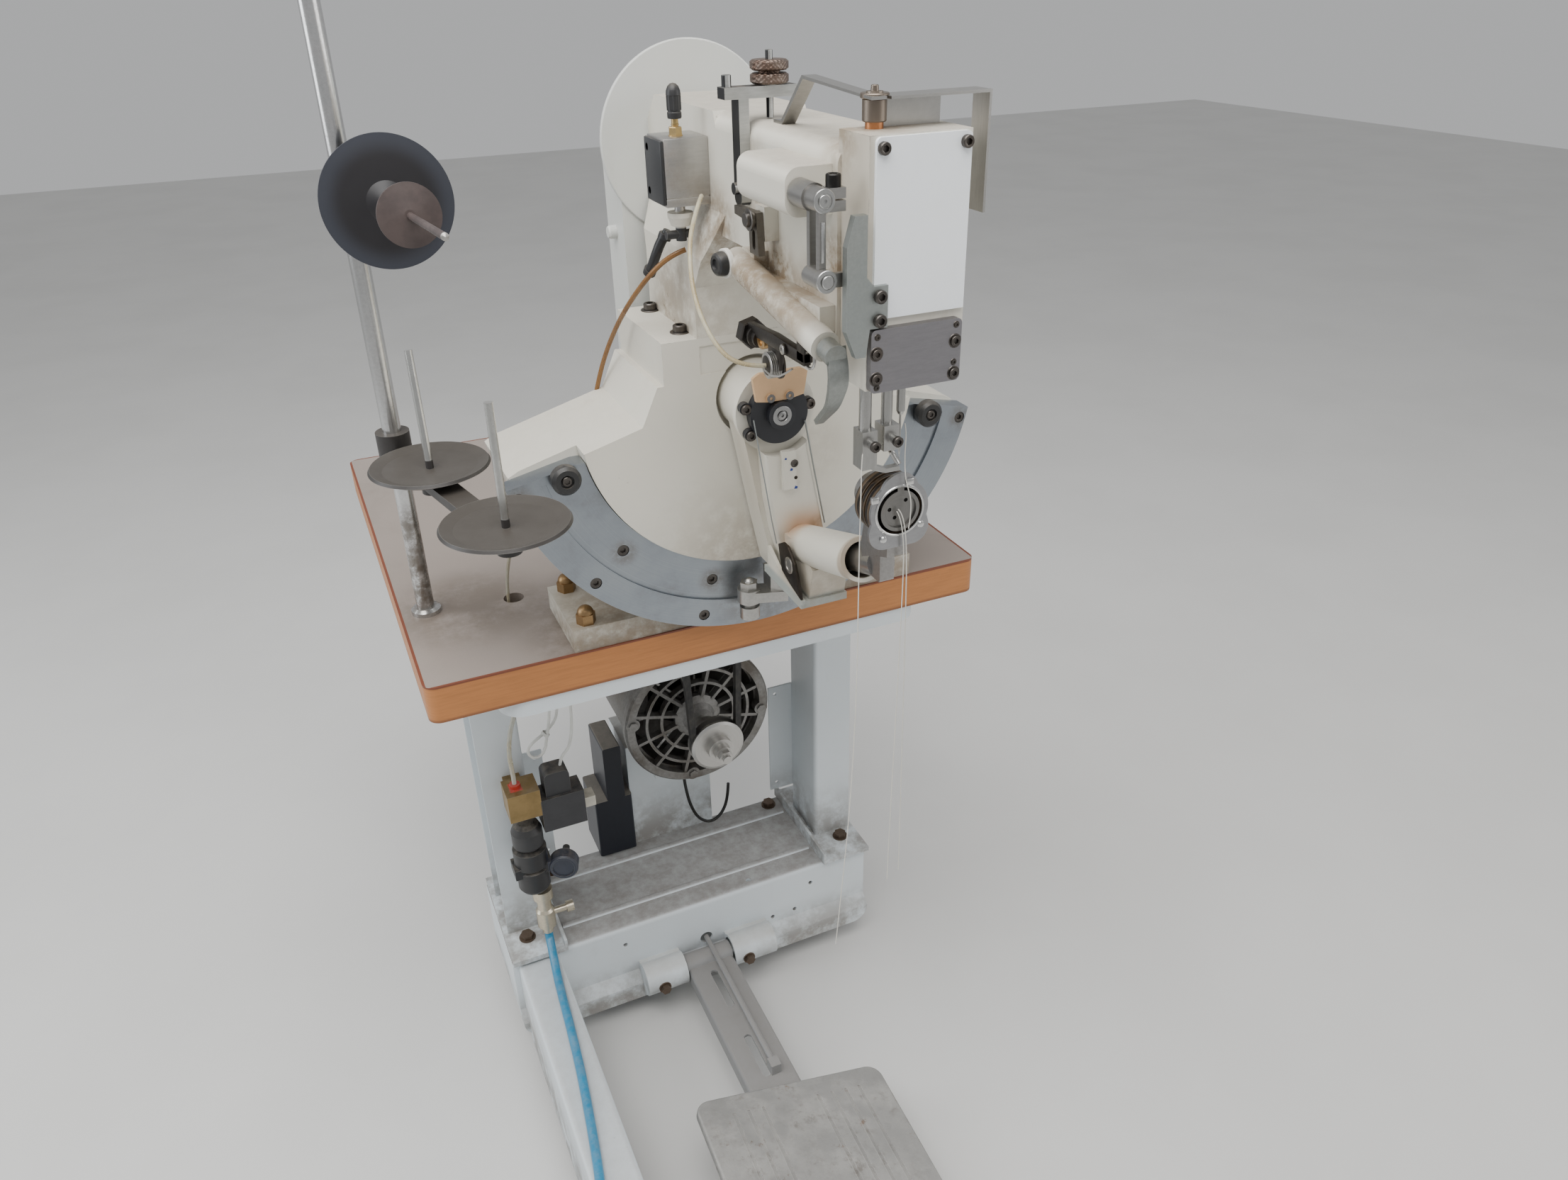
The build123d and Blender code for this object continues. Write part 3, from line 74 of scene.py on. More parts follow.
# Sizes and colours that a user may change

class StitcherPaints(bpy.types.PropertyGroup):
    cream: FloatVectorProperty(name="Casting paint", description="Off-white enamel of the castings",
                               subtype="COLOR", default=(0.66, 0.635, 0.56), min=0, max=1)
    white: FloatVectorProperty(name="Stand paint", description="White enamel of the stand",
                               subtype="COLOR", default=(0.66, 0.71, 0.74), min=0, max=1)
    laminate: FloatVectorProperty(name="Table laminate",
                                  description="Grey-brown laminate of the table", subtype="COLOR",
                                  default=(0.30, 0.255, 0.225), min=0, max=1)
    edging: FloatVectorProperty(name="Table edging", description="Orange-brown edging of the table",
                                subtype="COLOR", default=(0.47, 0.185, 0.055), min=0, max=1)
    hose: FloatVectorProperty(name="Air hose", description="Blue air hose",
                              subtype="COLOR", default=(0.015, 0.24, 0.44), min=0, max=1)


class StitcherSizes(bpy.types.PropertyGroup):
    thread: FloatProperty(name="Thread thickness", description="Diameter of the waxed thread",
                          subtype="DISTANCE", unit="LENGTH", default=0.0009, min=0.0003, max=0.002)
    hose: FloatProperty(name="Hose thickness", description="Diameter of the air hose",
                        subtype="DISTANCE", unit="LENGTH", default=0.012, min=0.006, max=0.016)
    smoothness: IntProperty(name="Tube smoothness",
                            description="Fineness of a tube's round section", default=6, min=2,
                            max=12)


# Shader maths

class Value:
    """A number on a socket of a finish; arithmetic on it adds Math nodes."""

    def __init__(self, finish, socket):
        self.finish = finish
        self.socket = socket

    def maths(self, operation, *others, clamp=False):
        inputs = dict(enumerate((self,) + others))
        return self.finish.node("ShaderNodeMath", {"operation": operation, "use_clamp": clamp},
                                inputs)

    def __add__(self, other):
        return self.maths("ADD", other)

    __radd__ = __add__

    def __mul__(self, other):
        return self.maths("MULTIPLY", other)

    __rmul__ = __mul__

    def __sub__(self, other):
        return self.maths("SUBTRACT", other)

    def __rsub__(self, other):
        return self.finish.node("ShaderNodeMath", {"operation": "SUBTRACT"}, {0: other, 1: self})

    def __pow__(self, power):
        return self.maths("POWER", power)

    def clamped(self):
        return self.maths("ADD", 0.0, clamp=True)

    def larger(self, other):
        return self.maths("MAXIMUM", other)

    def sine(self):
        return self.maths("SINE")

    def rise(self, low, high):
        """0 below low, 1 above high, smooth between; low above high turns it round."""
        settings = {"interpolation_type": "SMOOTHSTEP"}
        return self.finish.node("ShaderNodeMapRange", settings,
                                {0: self, 1: low, 2: high, 3: 0.0, 4: 1.0})


def shade(colour, by, more=0.0):
    """A colour made darker or paler."""
    return [min(1.0, part * by + more) for part in colour]


def tinted(colour, *shares):
    """A colour with its red, green and blue each cut to a share."""
    return [part * share for part, share in zip(colour, shares)]


class Finish:
    """One surface finish: its node tree, the fields that vary over it and its shader."""

    def __init__(self, name, **constants):
        self.material = bpy.data.materials.new(name)
        self.material.use_nodes = True
        self.tree = self.material.node_tree
        self.tree.nodes.clear()
        self.shader = self.tree.nodes.new("ShaderNodeBsdfPrincipled")
        output = self.tree.nodes.new("ShaderNodeOutputMaterial")
        self.tree.links.new(self.shader.outputs[0], output.inputs["Surface"])
        self.kept = {}
        self.set(**constants)

    def set(self, **sockets):
        """Links values to the shader's sockets, or sets numbers on them."""
        for name, value in sockets.items():
            self.feed(self.shader.inputs[name.replace("_", " ")], value)
        return self.material

    def feed(self, socket, value):
        if isinstance(value, Value):
            self.tree.links.new(value.socket, socket)
        else:
            socket.default_value = value

    def node(self, kind, settings=None, inputs=None, output=0):
        made = self.tree.nodes.new(kind)
        for key, value in (settings or {}).items():
            setattr(made, key, value)
        for key, value in (inputs or {}).items():
            self.feed(made.inputs[key], value)
        return Value(self, made.outputs[output])

    def once(self, key, make):
        if key not in self.kept:
            self.kept[key] = make()
        return self.kept[key]

    def split(self, vector):
        """The three numbers of a vector."""
        node = self.node("ShaderNodeSeparateXYZ", inputs={0: vector}).socket.node
        return [Value(self, output) for output in node.outputs]

    def place(self):
        return self.once("place", lambda: self.node("ShaderNodeTexCoord", output="Object"))

    def axes(self):
        """The three parts of a point's place, in metres."""
        return self.once("axes", lambda: self.split(self.place()))

    def normal(self):
        return self.once("normal", lambda: self.node("ShaderNodeNewGeometry", output="Normal"))

    def facing(self):
        """The three parts of the surface's own direction."""
        return self.once("facing", lambda: self.split(self.normal()))

    def vector(self, operation, first, second, output="Value"):
        return self.node("ShaderNodeVectorMath", {"operation": operation}, {0: first, 1: second},
                         output)

    def noise(self, scale, detail=4.0, rough=0.6, stretch=None, twist=0.0, field=None):
        field = field or self.place()
        if stretch:
            field = self.vector("MULTIPLY", field, stretch, "Vector")
        return self.node("ShaderNodeTexNoise", {},
                         {"Vector": field, "Scale": scale, "Detail": detail, "Roughness": rough,
                          "Distortion": twist})

    def mix(self, factor, *colours):
        """The first colour where the factor is 0 and the second where it is 1."""
        first, second = [c if isinstance(c, Value) else (*c, 1.0) for c in colours]
        return self.node("ShaderNodeMix", {"data_type": "RGBA"}, {0: factor, 6: first, 7: second},
                         2)

    def near(self, centre, reach, soft=0.35):
        """1 at a point and 0 past reach, in metres."""
        return self.vector("DISTANCE", self.place(), tuple(centre)).rise(reach, reach * soft)

    def stain(self, mark, scale, detail, low, high):
        """A blotch at a mark, which is (centre, reach, strength)."""
        centre, reach, strength = mark
        return self.near(centre, reach) * self.noise(scale, detail, 0.7).rise(low, high) * strength

    def dust(self, flat, scale, bare, amount):
        """Dust on faces that look up by more than flat, thin where its noise is under bare."""
        upward = self.facing()[2].rise(flat, 0.95)
        return upward * self.noise(scale, 6.0, 0.75).rise(bare, 0.68) * amount

    def inside(self, low, high, soft=0.0008):
        """1 inside a box given by two corners, 0 outside."""
        field = None
        for value, a, b in zip(self.axes(), low, high):
            part = value.rise(a - soft, a + soft) * value.rise(b + soft, b - soft)
            field = part if field is None else field * part
        return field

    def around(self, centre, axis="Y"):
        """The distance from a line through a point, along Y or Z."""
        x, y, z = self.axes()
        across = z - centre.z if axis == "Y" else y - centre.y
        return ((x - centre.x) ** 2.0 + across ** 2.0) ** 0.5

    def edges(self, radius=0.0016):
        """1 at sharp edges, from the difference between a rounded and the true direction."""
        def make():
            rounded = self.node("ShaderNodeBevel", {"samples": 4}, {"Radius": radius})
            return (1.0 - self.vector("DOT_PRODUCT", rounded, self.normal())).rise(0.02, 0.16)
        return self.once(("edges", radius), make)

    def bump(self, height, strength, distance):
        return self.node("ShaderNodeBump", {},
                         {"Strength": strength, "Distance": distance, "Height": height})


# Finishes

DUST = (0.35, 0.315, 0.265)
OIL = (0.22, 0.15, 0.085)
CHIP = (0.10, 0.085, 0.07)
RUST = (0.16, 0.10, 0.05)


def enamel(name, colour, chips=0.5, dust=0.0, grime=0.4, marks=(), gloss=0.32, dark_foot=None,
           rust=CHIP, tone_boxes=(), top_layer_tone=DUST):
    """Stove enamel with orange peel, wear at its edges, dust on top, which can also carry painted
    shade of upward faces, grime and oily marks.

    The enamel turns darker towards the bottom, in patches, between the two heights given for that;
    marks are (centre, reach, strength), and boxes of another tone are (low corner, high corner,
    softness, colour, strength); they paint shade on side faces and undersides, a brown stain and
    darker bands.
    """
    f = Finish(name, Specular_IOR_Level=0.5)
    cloudy = f.noise(9.0, 5.0, 0.6)
    fine = f.noise(70.0, 6.0, 0.7)
    tint = f.mix(cloudy.rise(0.3, 0.75) * 0.25, colour, tinted(colour, 0.88, 0.86, 0.82))
    streaks = f.noise(14.0, 5.0, 0.65, stretch=(1.0, 1.0, 0.18)).rise(0.55, 0.80)
    dirt = streaks * fine.rise(0.38, 0.72) * grime
    base = f.mix(dirt, tint, tinted(colour, 0.62, 0.56, 0.47))
    rough = gloss + cloudy * 0.16 + dirt * 0.25
    # darker towards the bottom, in patches, between two heights
    if dark_foot:
        bottom, top = dark_foot
        fade = f.axes()[2].rise(top, bottom) * f.noise(22.0, 6.0, 0.7).rise(0.30, 0.62)
        base = f.mix(fade * 0.75, base, (0.16, 0.13, 0.10))
        rough = rough + fade * 0.3
    if dust:
        patchy = f.noise(55.0, 7.0, 0.75).rise(0.20, 0.75) * 0.35 + 0.65
        layer = f.facing()[2].rise(0.55, 0.95) * patchy * dust
        base = f.mix(layer, base, top_layer_tone)
        rough = rough + layer * 0.35
    # boxes of another tone: painted shade on shaded side faces and undersides, a brown stain and
    # darker bands
    for low, high, soft, box_tone, strength in tone_boxes:
        field = f.inside(spot(*low), spot(*high), soft) * (cloudy * 0.5 + 0.75) * strength
        base = f.mix(field, base, box_tone)
    for mark in marks:
        stain = f.stain(mark, 60.0, 5.0, 0.25, 0.62)
        base = f.mix(stain, base, OIL)
        rough = rough - stain * 0.14
    worn = f.edges() * fine.rise(0.62 - 0.25 * chips, 0.72) * chips
    specks = f.noise(150.0, 3.0, 0.6).rise(0.70, 0.76)
    specks = specks * f.noise(11.0, 3.0, 0.5).rise(0.5, 0.7) * chips
    bare = worn.larger(specks)
    base = f.mix(bare, base, rust)
    peel = f.noise(420.0, 2.0, 0.5)
    relief = f.bump(peel * 0.25 + fine * 0.35 - bare * 0.5, 0.25, 0.0006)
    return f.set(Base_Color=base, Roughness=(rough + bare * 0.25).clamped(), Normal=relief)


def laminate_top(name, colour, marks):
    """Fine speckled laminate, rubbed, with pale wear and dark oily patches."""
    f = Finish(name, Specular_IOR_Level=0.5)
    speck = f.noise(900.0, 2.0, 0.6)
    cloud = f.noise(5.0, 6.0, 0.62)
    base = f.mix(speck.rise(0.35, 0.65) * 0.30, colour, shade(colour, 0.72))
    base = f.mix(cloud.rise(0.42, 0.72) * 0.30, base, shade(colour, 1.18))
    smear = f.noise(7.0, 6.0, 0.66, stretch=(1.0, 0.55, 1.0), twist=0.8).rise(0.55, 0.74)
    base = f.mix(smear * 0.40, base, shade(colour, 0.62))
    scratches = f.noise(26.0, 4.0, 0.7, stretch=(0.35, 4.0, 1.0)).rise(0.66, 0.72)
    scratches = scratches * f.noise(6.0, 2.0).rise(0.45, 0.6)
    base = f.mix(scratches * 0.35, base, shade(colour, 1.45))
    rough = 0.30 + cloud * 0.18 + speck * 0.06
    for mark in marks:
        stain = f.stain(mark, 24.0, 6.0, 0.28, 0.60)
        base = f.mix(stain, base, (0.085, 0.060, 0.035))
        rough = rough - stain * 0.16
    relief = f.bump(speck * 0.3 + scratches * -0.8, 0.2, 0.0004)
    return f.set(Base_Color=base, Roughness=rough.clamped(), Normal=relief)


def wood_edging(name, colour):
    """Orange-brown edging with grain along it, a dark red line at its top and a shadowed foot."""
    f = Finish(name)
    height = f.axes()[2]
    grain = f.noise(40.0, 6.0, 0.7, stretch=(0.6, 0.6, 9.0))
    base = f.mix(grain.rise(0.35, 0.7) * 0.55, colour, shade(colour, 0.72))
    pale = f.noise(18.0, 5.0, 0.7, stretch=(1.0, 1.0, 3.0)).rise(0.62, 0.74)
    base = f.mix(pale * 0.25, base, (0.58, 0.33, 0.15))
    base = f.mix(height.rise(0.7572, 0.7584) * 0.85, base, (0.13, 0.025, 0.015))
    base = f.mix(height.rise(0.7200, 0.7165) * 0.7, base, (0.15, 0.05, 0.02))
    return f.set(Base_Color=base, Roughness=0.36 + grain * 0.22, Normal=f.bump(grain, 0.25, 0.0006))


def metal(name, colour, rough=0.34, brushed=None, tarnish=0.35, stain=RUST, scratch=0.5, marks=(),
          turned=None, pits=0.0, cold=None):
    """Bare metal, tarnished in patches and worn bright at its edges.

    brushed is the stretch of its lines, or turned is (point, axis, scale) of rings about a line.
    """
    f = Finish(name)
    cloud = f.noise(16.0, 6.0, 0.65)
    fine = f.noise(120.0, 5.0, 0.7)
    if turned:
        point, axis, scale = turned
        ring = f.node("ShaderNodeCombineXYZ", inputs={0: f.around(point, axis)})
        lines = f.noise(scale, 5.0, 0.75, field=ring)
    elif brushed:
        lines = f.noise(60.0, 6.0, 0.75, stretch=brushed)
    else:
        lines = f.noise(300.0, 4.0, 0.7)
    base = f.mix(lines.rise(0.30, 0.70) * 0.45, colour, shade(colour, 0.72))
    if cold:
        base = f.mix(cloud.rise(0.35, 0.65) * 0.5, base, cold)
    dull = cloud.rise(0.50, 0.78) * fine.rise(0.30, 0.65) * tarnish
    base = f.mix(dull, base, stain)
    bright = f.edges(0.0009) * scratch
    base = f.mix(bright, base, shade(colour, 1.35))
    roughness = rough + lines * 0.14 + dull * 0.30 - bright * 0.10
    metallic = 1.0 - dull * 0.55
    for mark in marks:
        patch = f.stain(mark, 70.0, 5.0, 0.28, 0.60)
        base = f.mix(patch, base, (0.12, 0.095, 0.07))
        metallic = metallic - patch * 0.55
        roughness = roughness - patch * 0.05
    height = lines * 0.5 + fine * 0.3
    if pits:
        hollow = f.noise(210.0, 4.0, 0.6).rise(0.62, 0.74) * pits
        height = height - hollow
        base = f.mix(hollow * 0.6, base, shade(stain, 0.4))
    return f.set(Base_Color=base, Metallic=metallic.clamped(), Roughness=roughness.clamped(),
                 Normal=f.bump(height, 0.22, 0.0005))


def cast_metal(name, colour, oil, metallic=0.75):
    """Sand-cast metal, grainy, darkened by oil and dust in its hollows."""
    f = Finish(name)
    grain = f.noise(240.0, 5.0, 0.65)
    cloud = f.noise(13.0, 6.0, 0.68)
    base = f.mix(grain.rise(0.3, 0.7) * 0.5, colour, shade(colour, 0.62))
    wet = cloud.rise(0.42, 0.68) * oil
    base = f.mix(wet, base, (0.060, 0.045, 0.030))
    crust = f.noise(34.0, 7.0, 0.75).rise(0.56, 0.74) * f.facing()[2].rise(-0.1, 0.7)
    base = f.mix(crust * 0.55, base, (0.24, 0.20, 0.15))
    rubbed = f.edges(0.0012) * f.noise(60.0, 4.0).rise(0.35, 0.6)
    base = f.mix(rubbed * 0.7, base, shade(colour, 1.5))
    shine = (metallic - wet * 0.35 - crust * 0.5).clamped()
    roughness = (0.46 + grain * 0.18 - wet * 0.16 + crust * 0.3).clamped()
    relief = f.bump(grain * 0.8 + cloud * 0.3, 0.4, 0.0009)
    return f.set(Base_Color=base, Metallic=shine, Roughness=roughness, Normal=relief)


TREADLE_MIDDLE = spot(-31, -129, 105)
TREADLE_TILT = math.radians(11.5)


def rubbed_iron(name):
    """The treadle: grey paint rubbed to bright iron on its ribs, with dark dirt in its grooves."""
    f = Finish(name)
    grain = f.noise(200.0, 5.0, 0.7)
    cloud = f.noise(12.0, 6.0, 0.66)
    x, _, z = f.axes()
    height = z + (x - TREADLE_MIDDLE.x) * math.tan(TREADLE_TILT) - TREADLE_MIDDLE.z
    base = f.mix(cloud.rise(0.35, 0.70), (0.24, 0.235, 0.225), (0.36, 0.35, 0.33))
    base = f.mix(f.noise(60.0, 6.0, 0.75).rise(0.50, 0.66) * 0.6, base, (0.12, 0.10, 0.085))
    trodden = height.rise(-0.0013, -0.0005) * f.facing()[2].rise(0.6, 0.95)
    trodden = trodden * f.noise(26.0, 5.0).rise(0.30, 0.62)
    base = f.mix(trodden * 0.75, base, (0.50, 0.49, 0.47))
    base = f.mix(f.edges(0.0018) * 0.55, base, (0.62, 0.60, 0.58))
    rusty = f.noise(45.0, 6.0, 0.7).rise(0.62, 0.72)
    base = f.mix(rusty * 0.6, base, (0.17, 0.085, 0.04))
    return f.set(Base_Color=base, Metallic=(trodden * 0.6 + 0.15).clamped(),
                 Roughness=0.62 - trodden * 0.22 + grain * 0.1,
                 Normal=f.bump(grain * 0.8 + cloud * 0.4, 0.4, 0.0009))


def plastic(name, colour, rough=0.4, dust=0.3):
    """Moulded plastic or rubber with a fine skin, dust on top and pale rubbed edges."""
    f = Finish(name)
    skin = f.noise(500.0, 3.0, 0.6)
    cloud = f.noise(20.0, 5.0, 0.6)
    base = f.mix(cloud.rise(0.35, 0.7) * 0.35, colour, shade(colour, 1.6, 0.006))
    layer = f.dust(0.3, 60.0, 0.30, dust)
    base = f.mix(layer, base, (0.26, 0.23, 0.19))
    base = f.mix(f.edges(0.0008) * 0.35, base, shade(colour, 2.0, 0.05))
    return f.set(Base_Color=base, Roughness=(rough + layer * 0.4 + cloud * 0.1).clamped(),
                 Normal=f.bump(skin, 0.08, 0.0004))


def belt_rubber(name):
    """Black belt, its flanks polished and its back cracked across."""
    f = Finish(name)
    fine = f.noise(180.0, 6.0, 0.7, stretch=(1.0, 1.0, 0.5))
    base = f.mix(fine.rise(0.35, 0.7), (0.012, 0.012, 0.012), (0.045, 0.042, 0.038))
    base = f.mix(f.noise(26.0, 5.0).rise(0.5, 0.7) * 0.5, base, (0.09, 0.08, 0.065))
    return f.set(Base_Color=base, Roughness=0.55 + fine * 0.2, Normal=f.bump(fine, 0.3, 0.0006))


def hose_blue(name, colour):
    """Blue translucent hose with a soft sheen and dust along its top."""
    f = Finish(name, Transmission_Weight=0.12, IOR=1.45, Coat_Roughness=0.2, Coat_Weight=0.3)
    cloud = f.noise(24.0, 5.0, 0.6)
    base = f.mix(cloud.rise(0.3, 0.7) * 0.4, colour, shade(colour, 0.6))
    layer = f.dust(0.4, 80.0, 0.35, 0.35)
    base = f.mix(layer, base, (0.30, 0.34, 0.36))
    return f.set(Base_Color=base, Roughness=0.26 + cloud * 0.14 + layer * 0.4,
                 Normal=f.bump(f.noise(300.0, 3.0), 0.05, 0.0004))


def knurled(name, colour):
    """Turned metal with a diamond knurl in relief."""
    f = Finish(name, Metallic=0.9)
    x, y, z = f.axes()
    teeth = [(way * 1800.0).sine() * 0.4 for way in (x + z, x - z, y + z)]
    cloud = f.noise(60.0, 5.0, 0.65)
    base = f.mix(cloud.rise(0.4, 0.7) * 0.7, colour, (0.10, 0.05, 0.03))
    return f.set(Base_Color=base, Roughness=0.34 + cloud * 0.2,
                 Normal=f.bump(teeth[0] + teeth[1] + teeth[2], 0.4, 0.0006))


def two_faced(name, dark, pale):
    """Blackened steel whose machined front is left pale."""
    f = Finish(name)
    front = f.facing()[1].rise(-0.75, -0.9)
    cloud = f.noise(45.0, 5.0, 0.65)
    lines = f.noise(60.0, 6.0, 0.75, stretch=(1.0, 1.0, 6.0))
    base = f.mix(cloud.rise(0.35, 0.7) * 0.5, dark, shade(dark, 1.9))
    machined = f.mix(lines.rise(0.3, 0.7) * 0.5, pale, shade(pale, 0.66))
    base = f.mix(front, base, machined)
    base = f.mix(f.edges(0.0009) * 0.5, base, shade(pale, 1.25))
    layer = f.dust(0.5, 60.0, 0.3, 0.5)
    base = f.mix(layer, base, (0.28, 0.245, 0.20))
    return f.set(Base_Color=base, Metallic=(0.85 - layer).clamped(),
                 Roughness=0.34 + cloud * 0.12 + layer * 0.3, Normal=f.bump(lines, 0.12, 0.0004))


def striped_metal(name):
    """Bright drum with black ribs round it."""
    f = Finish(name, Metallic=0.85)
    bands = (f.axes()[1] * 900.0).sine().rise(-0.2, 0.4)
    cloud = f.noise(90.0, 5.0, 0.65)
    base = f.mix(bands, (0.030, 0.026, 0.024), (0.17, 0.125, 0.085))
    base = f.mix(cloud.rise(0.5, 0.72) * 0.4, base, (0.26, 0.17, 0.10))
    return f.set(Base_Color=base, Roughness=0.28 + cloud * 0.2, Normal=f.bump(bands, 0.4, 0.0008))


def many_part(name, ground, ground_rough, ground_metal, zones, film=None):
    """One unit whose parts differ: zones are (low corner, high corner, colour, rough, metallic).

    film is an even share of dust on its upper faces, and without it the dust is patchy.
    """
    f = Finish(name)
    cloud = f.noise(40.0, 6.0, 0.65)
    fine = f.noise(260.0, 4.0, 0.65)
    base = f.mix(cloud.rise(0.35, 0.7) * 0.5, ground, shade(ground, 0.55))
    rough = cloud * 0.14 + ground_rough
    shine = ground_metal
    for low, high, colour, zone_rough, zone_metal in zones:
        mask = f.inside(spot(*low), spot(*high))
        patch = f.mix(cloud.rise(0.35, 0.7) * 0.45, colour, shade(colour, 0.6))
        base = f.mix(mask, base, patch)
        rough = rough + mask * (zone_rough - ground_rough)
        shine = shine + mask * (zone_metal - ground_metal)
    layer = f.facing()[2].rise(0.4, 0.95) * film if film else f.dust(0.4, 70.0, 0.35, 0.35)
    base = f.mix(layer, base, (0.22, 0.19, 0.15))
    base = f.mix(f.edges(0.0008) * 0.25, base, (0.5, 0.48, 0.44))
    return f.set(Base_Color=base, Roughness=(rough + layer * 0.3).clamped(),
                 Metallic=(shine - layer).clamped(),
                 Normal=f.bump(fine + cloud * 0.3, 0.12, 0.0005))


def reel_black(name):
    """Black disc, painted paler and bluer outside its middle as a sheen, with a brown small disc
    and spindle behind it and a steel tip.
    """
    f = Finish(name)
    radius = f.around(spot(-310, 131, 1227))
    cloud = f.noise(30.0, 5.0, 0.65)
    tip = f.inside(spot(-320, -230, 1240), spot(-300, -204, 1270))
    brown = f.inside(spot(-345, -204, 1190), spot(-275, -18, 1270))
    # the outer part of the black disc is painted paler and bluer: a painted sheen
    base = f.mix(radius.rise(0.040, 0.060), (0.012, 0.011, 0.013), (0.030, 0.033, 0.044))
    browned = f.mix(cloud.rise(0.35, 0.65), (0.078, 0.058, 0.054), (0.052, 0.038, 0.036))
    base = f.mix(brown, base, browned)
    base = f.mix(tip, base, (0.40, 0.39, 0.37))
    return f.set(Base_Color=base, Roughness=0.36 + cloud * 0.16, Metallic=tip * 0.9,
                 Normal=f.bump(f.noise(300.0, 3.0), 0.08, 0.0004))


def clear_tube(name, colour):
    """A clear or pale flexible tube, yellowed and oily inside."""
    f = Finish(name, Transmission_Weight=0.35, IOR=1.45)
    cloud = f.noise(50.0, 5.0, 0.65, stretch=(1.0, 1.0, 0.4))
    base = f.mix(cloud.rise(0.40, 0.65) * 0.7, colour, tinted(colour, 0.75, 0.62, 0.40))
    return f.set(Base_Color=base, Roughness=0.2 + cloud * 0.12,
                 Normal=f.bump(f.noise(300.0, 3.0), 0.05, 0.0003))


def waxed_thread(name, colour):
    """Twisted white thread, waxed."""
    f = Finish(name, Specular_IOR_Level=0.4)
    x, _, z = f.axes()
    twist = ((z + x) * 9000.0).sine()
    base = f.mix(twist.rise(-0.4, 0.8) * 0.5, colour, shade(colour, 0.62))
    return f.set(Base_Color=base, Roughness=0.48 + twist * 0.06, Normal=f.bump(twist, 0.3, 0.0002))


def pale_floor(name):
    """The studio floor, a faint cloud over it."""
    f = Finish(name)
    cloud = f.noise(2.0, 4.0, 0.6)
    base = f.mix(cloud.rise(0.35, 0.7), (0.66, 0.655, 0.64), (0.63, 0.625, 0.61))
    return f.set(Base_Color=base, Roughness=0.62 + cloud * 0.1)


def dress(finish, *nodes):
    """Gives a finish to solids of the frame."""
    for name in nodes:
        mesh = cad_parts[name].data
        mesh.materials.clear()
        mesh.materials.append(finish)


# Making pieces

def keep(shape, name, finish, body):
    """Puts a mesh or a curve into the scene as a piece that rides on a body."""
    made = bpy.data.objects.new(name, shape)
    bpy.context.scene.collection.objects.link(made)
    shape.materials.append(finish)
    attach(made, body)
    return made


def soft_line(name, points, diameter, finish, body, segments):
    """A cord: one smooth spline with its route's points as control points."""
    curve = bpy.data.curves.new(name, "CURVE")
    curve.dimensions = "3D"
    curve.bevel_depth = diameter / 2
    curve.bevel_resolution = segments
    curve.use_fill_caps = True
    curve.resolution_u = 8
    spline = curve.splines.new("NURBS")
    spline.points.add(len(points) - 1)
    for knot, point in zip(spline.points, points):
        knot.co = (*point, 1.0)
    spline.order_u = 3
    spline.use_endpoint_u = True
    return keep(curve, name, finish, body)


# An uneven direction along which a piece lists its faces, since a bevel's own order may vary
FACE_ORDER = Vector((0.13, 0.57, 0.81))


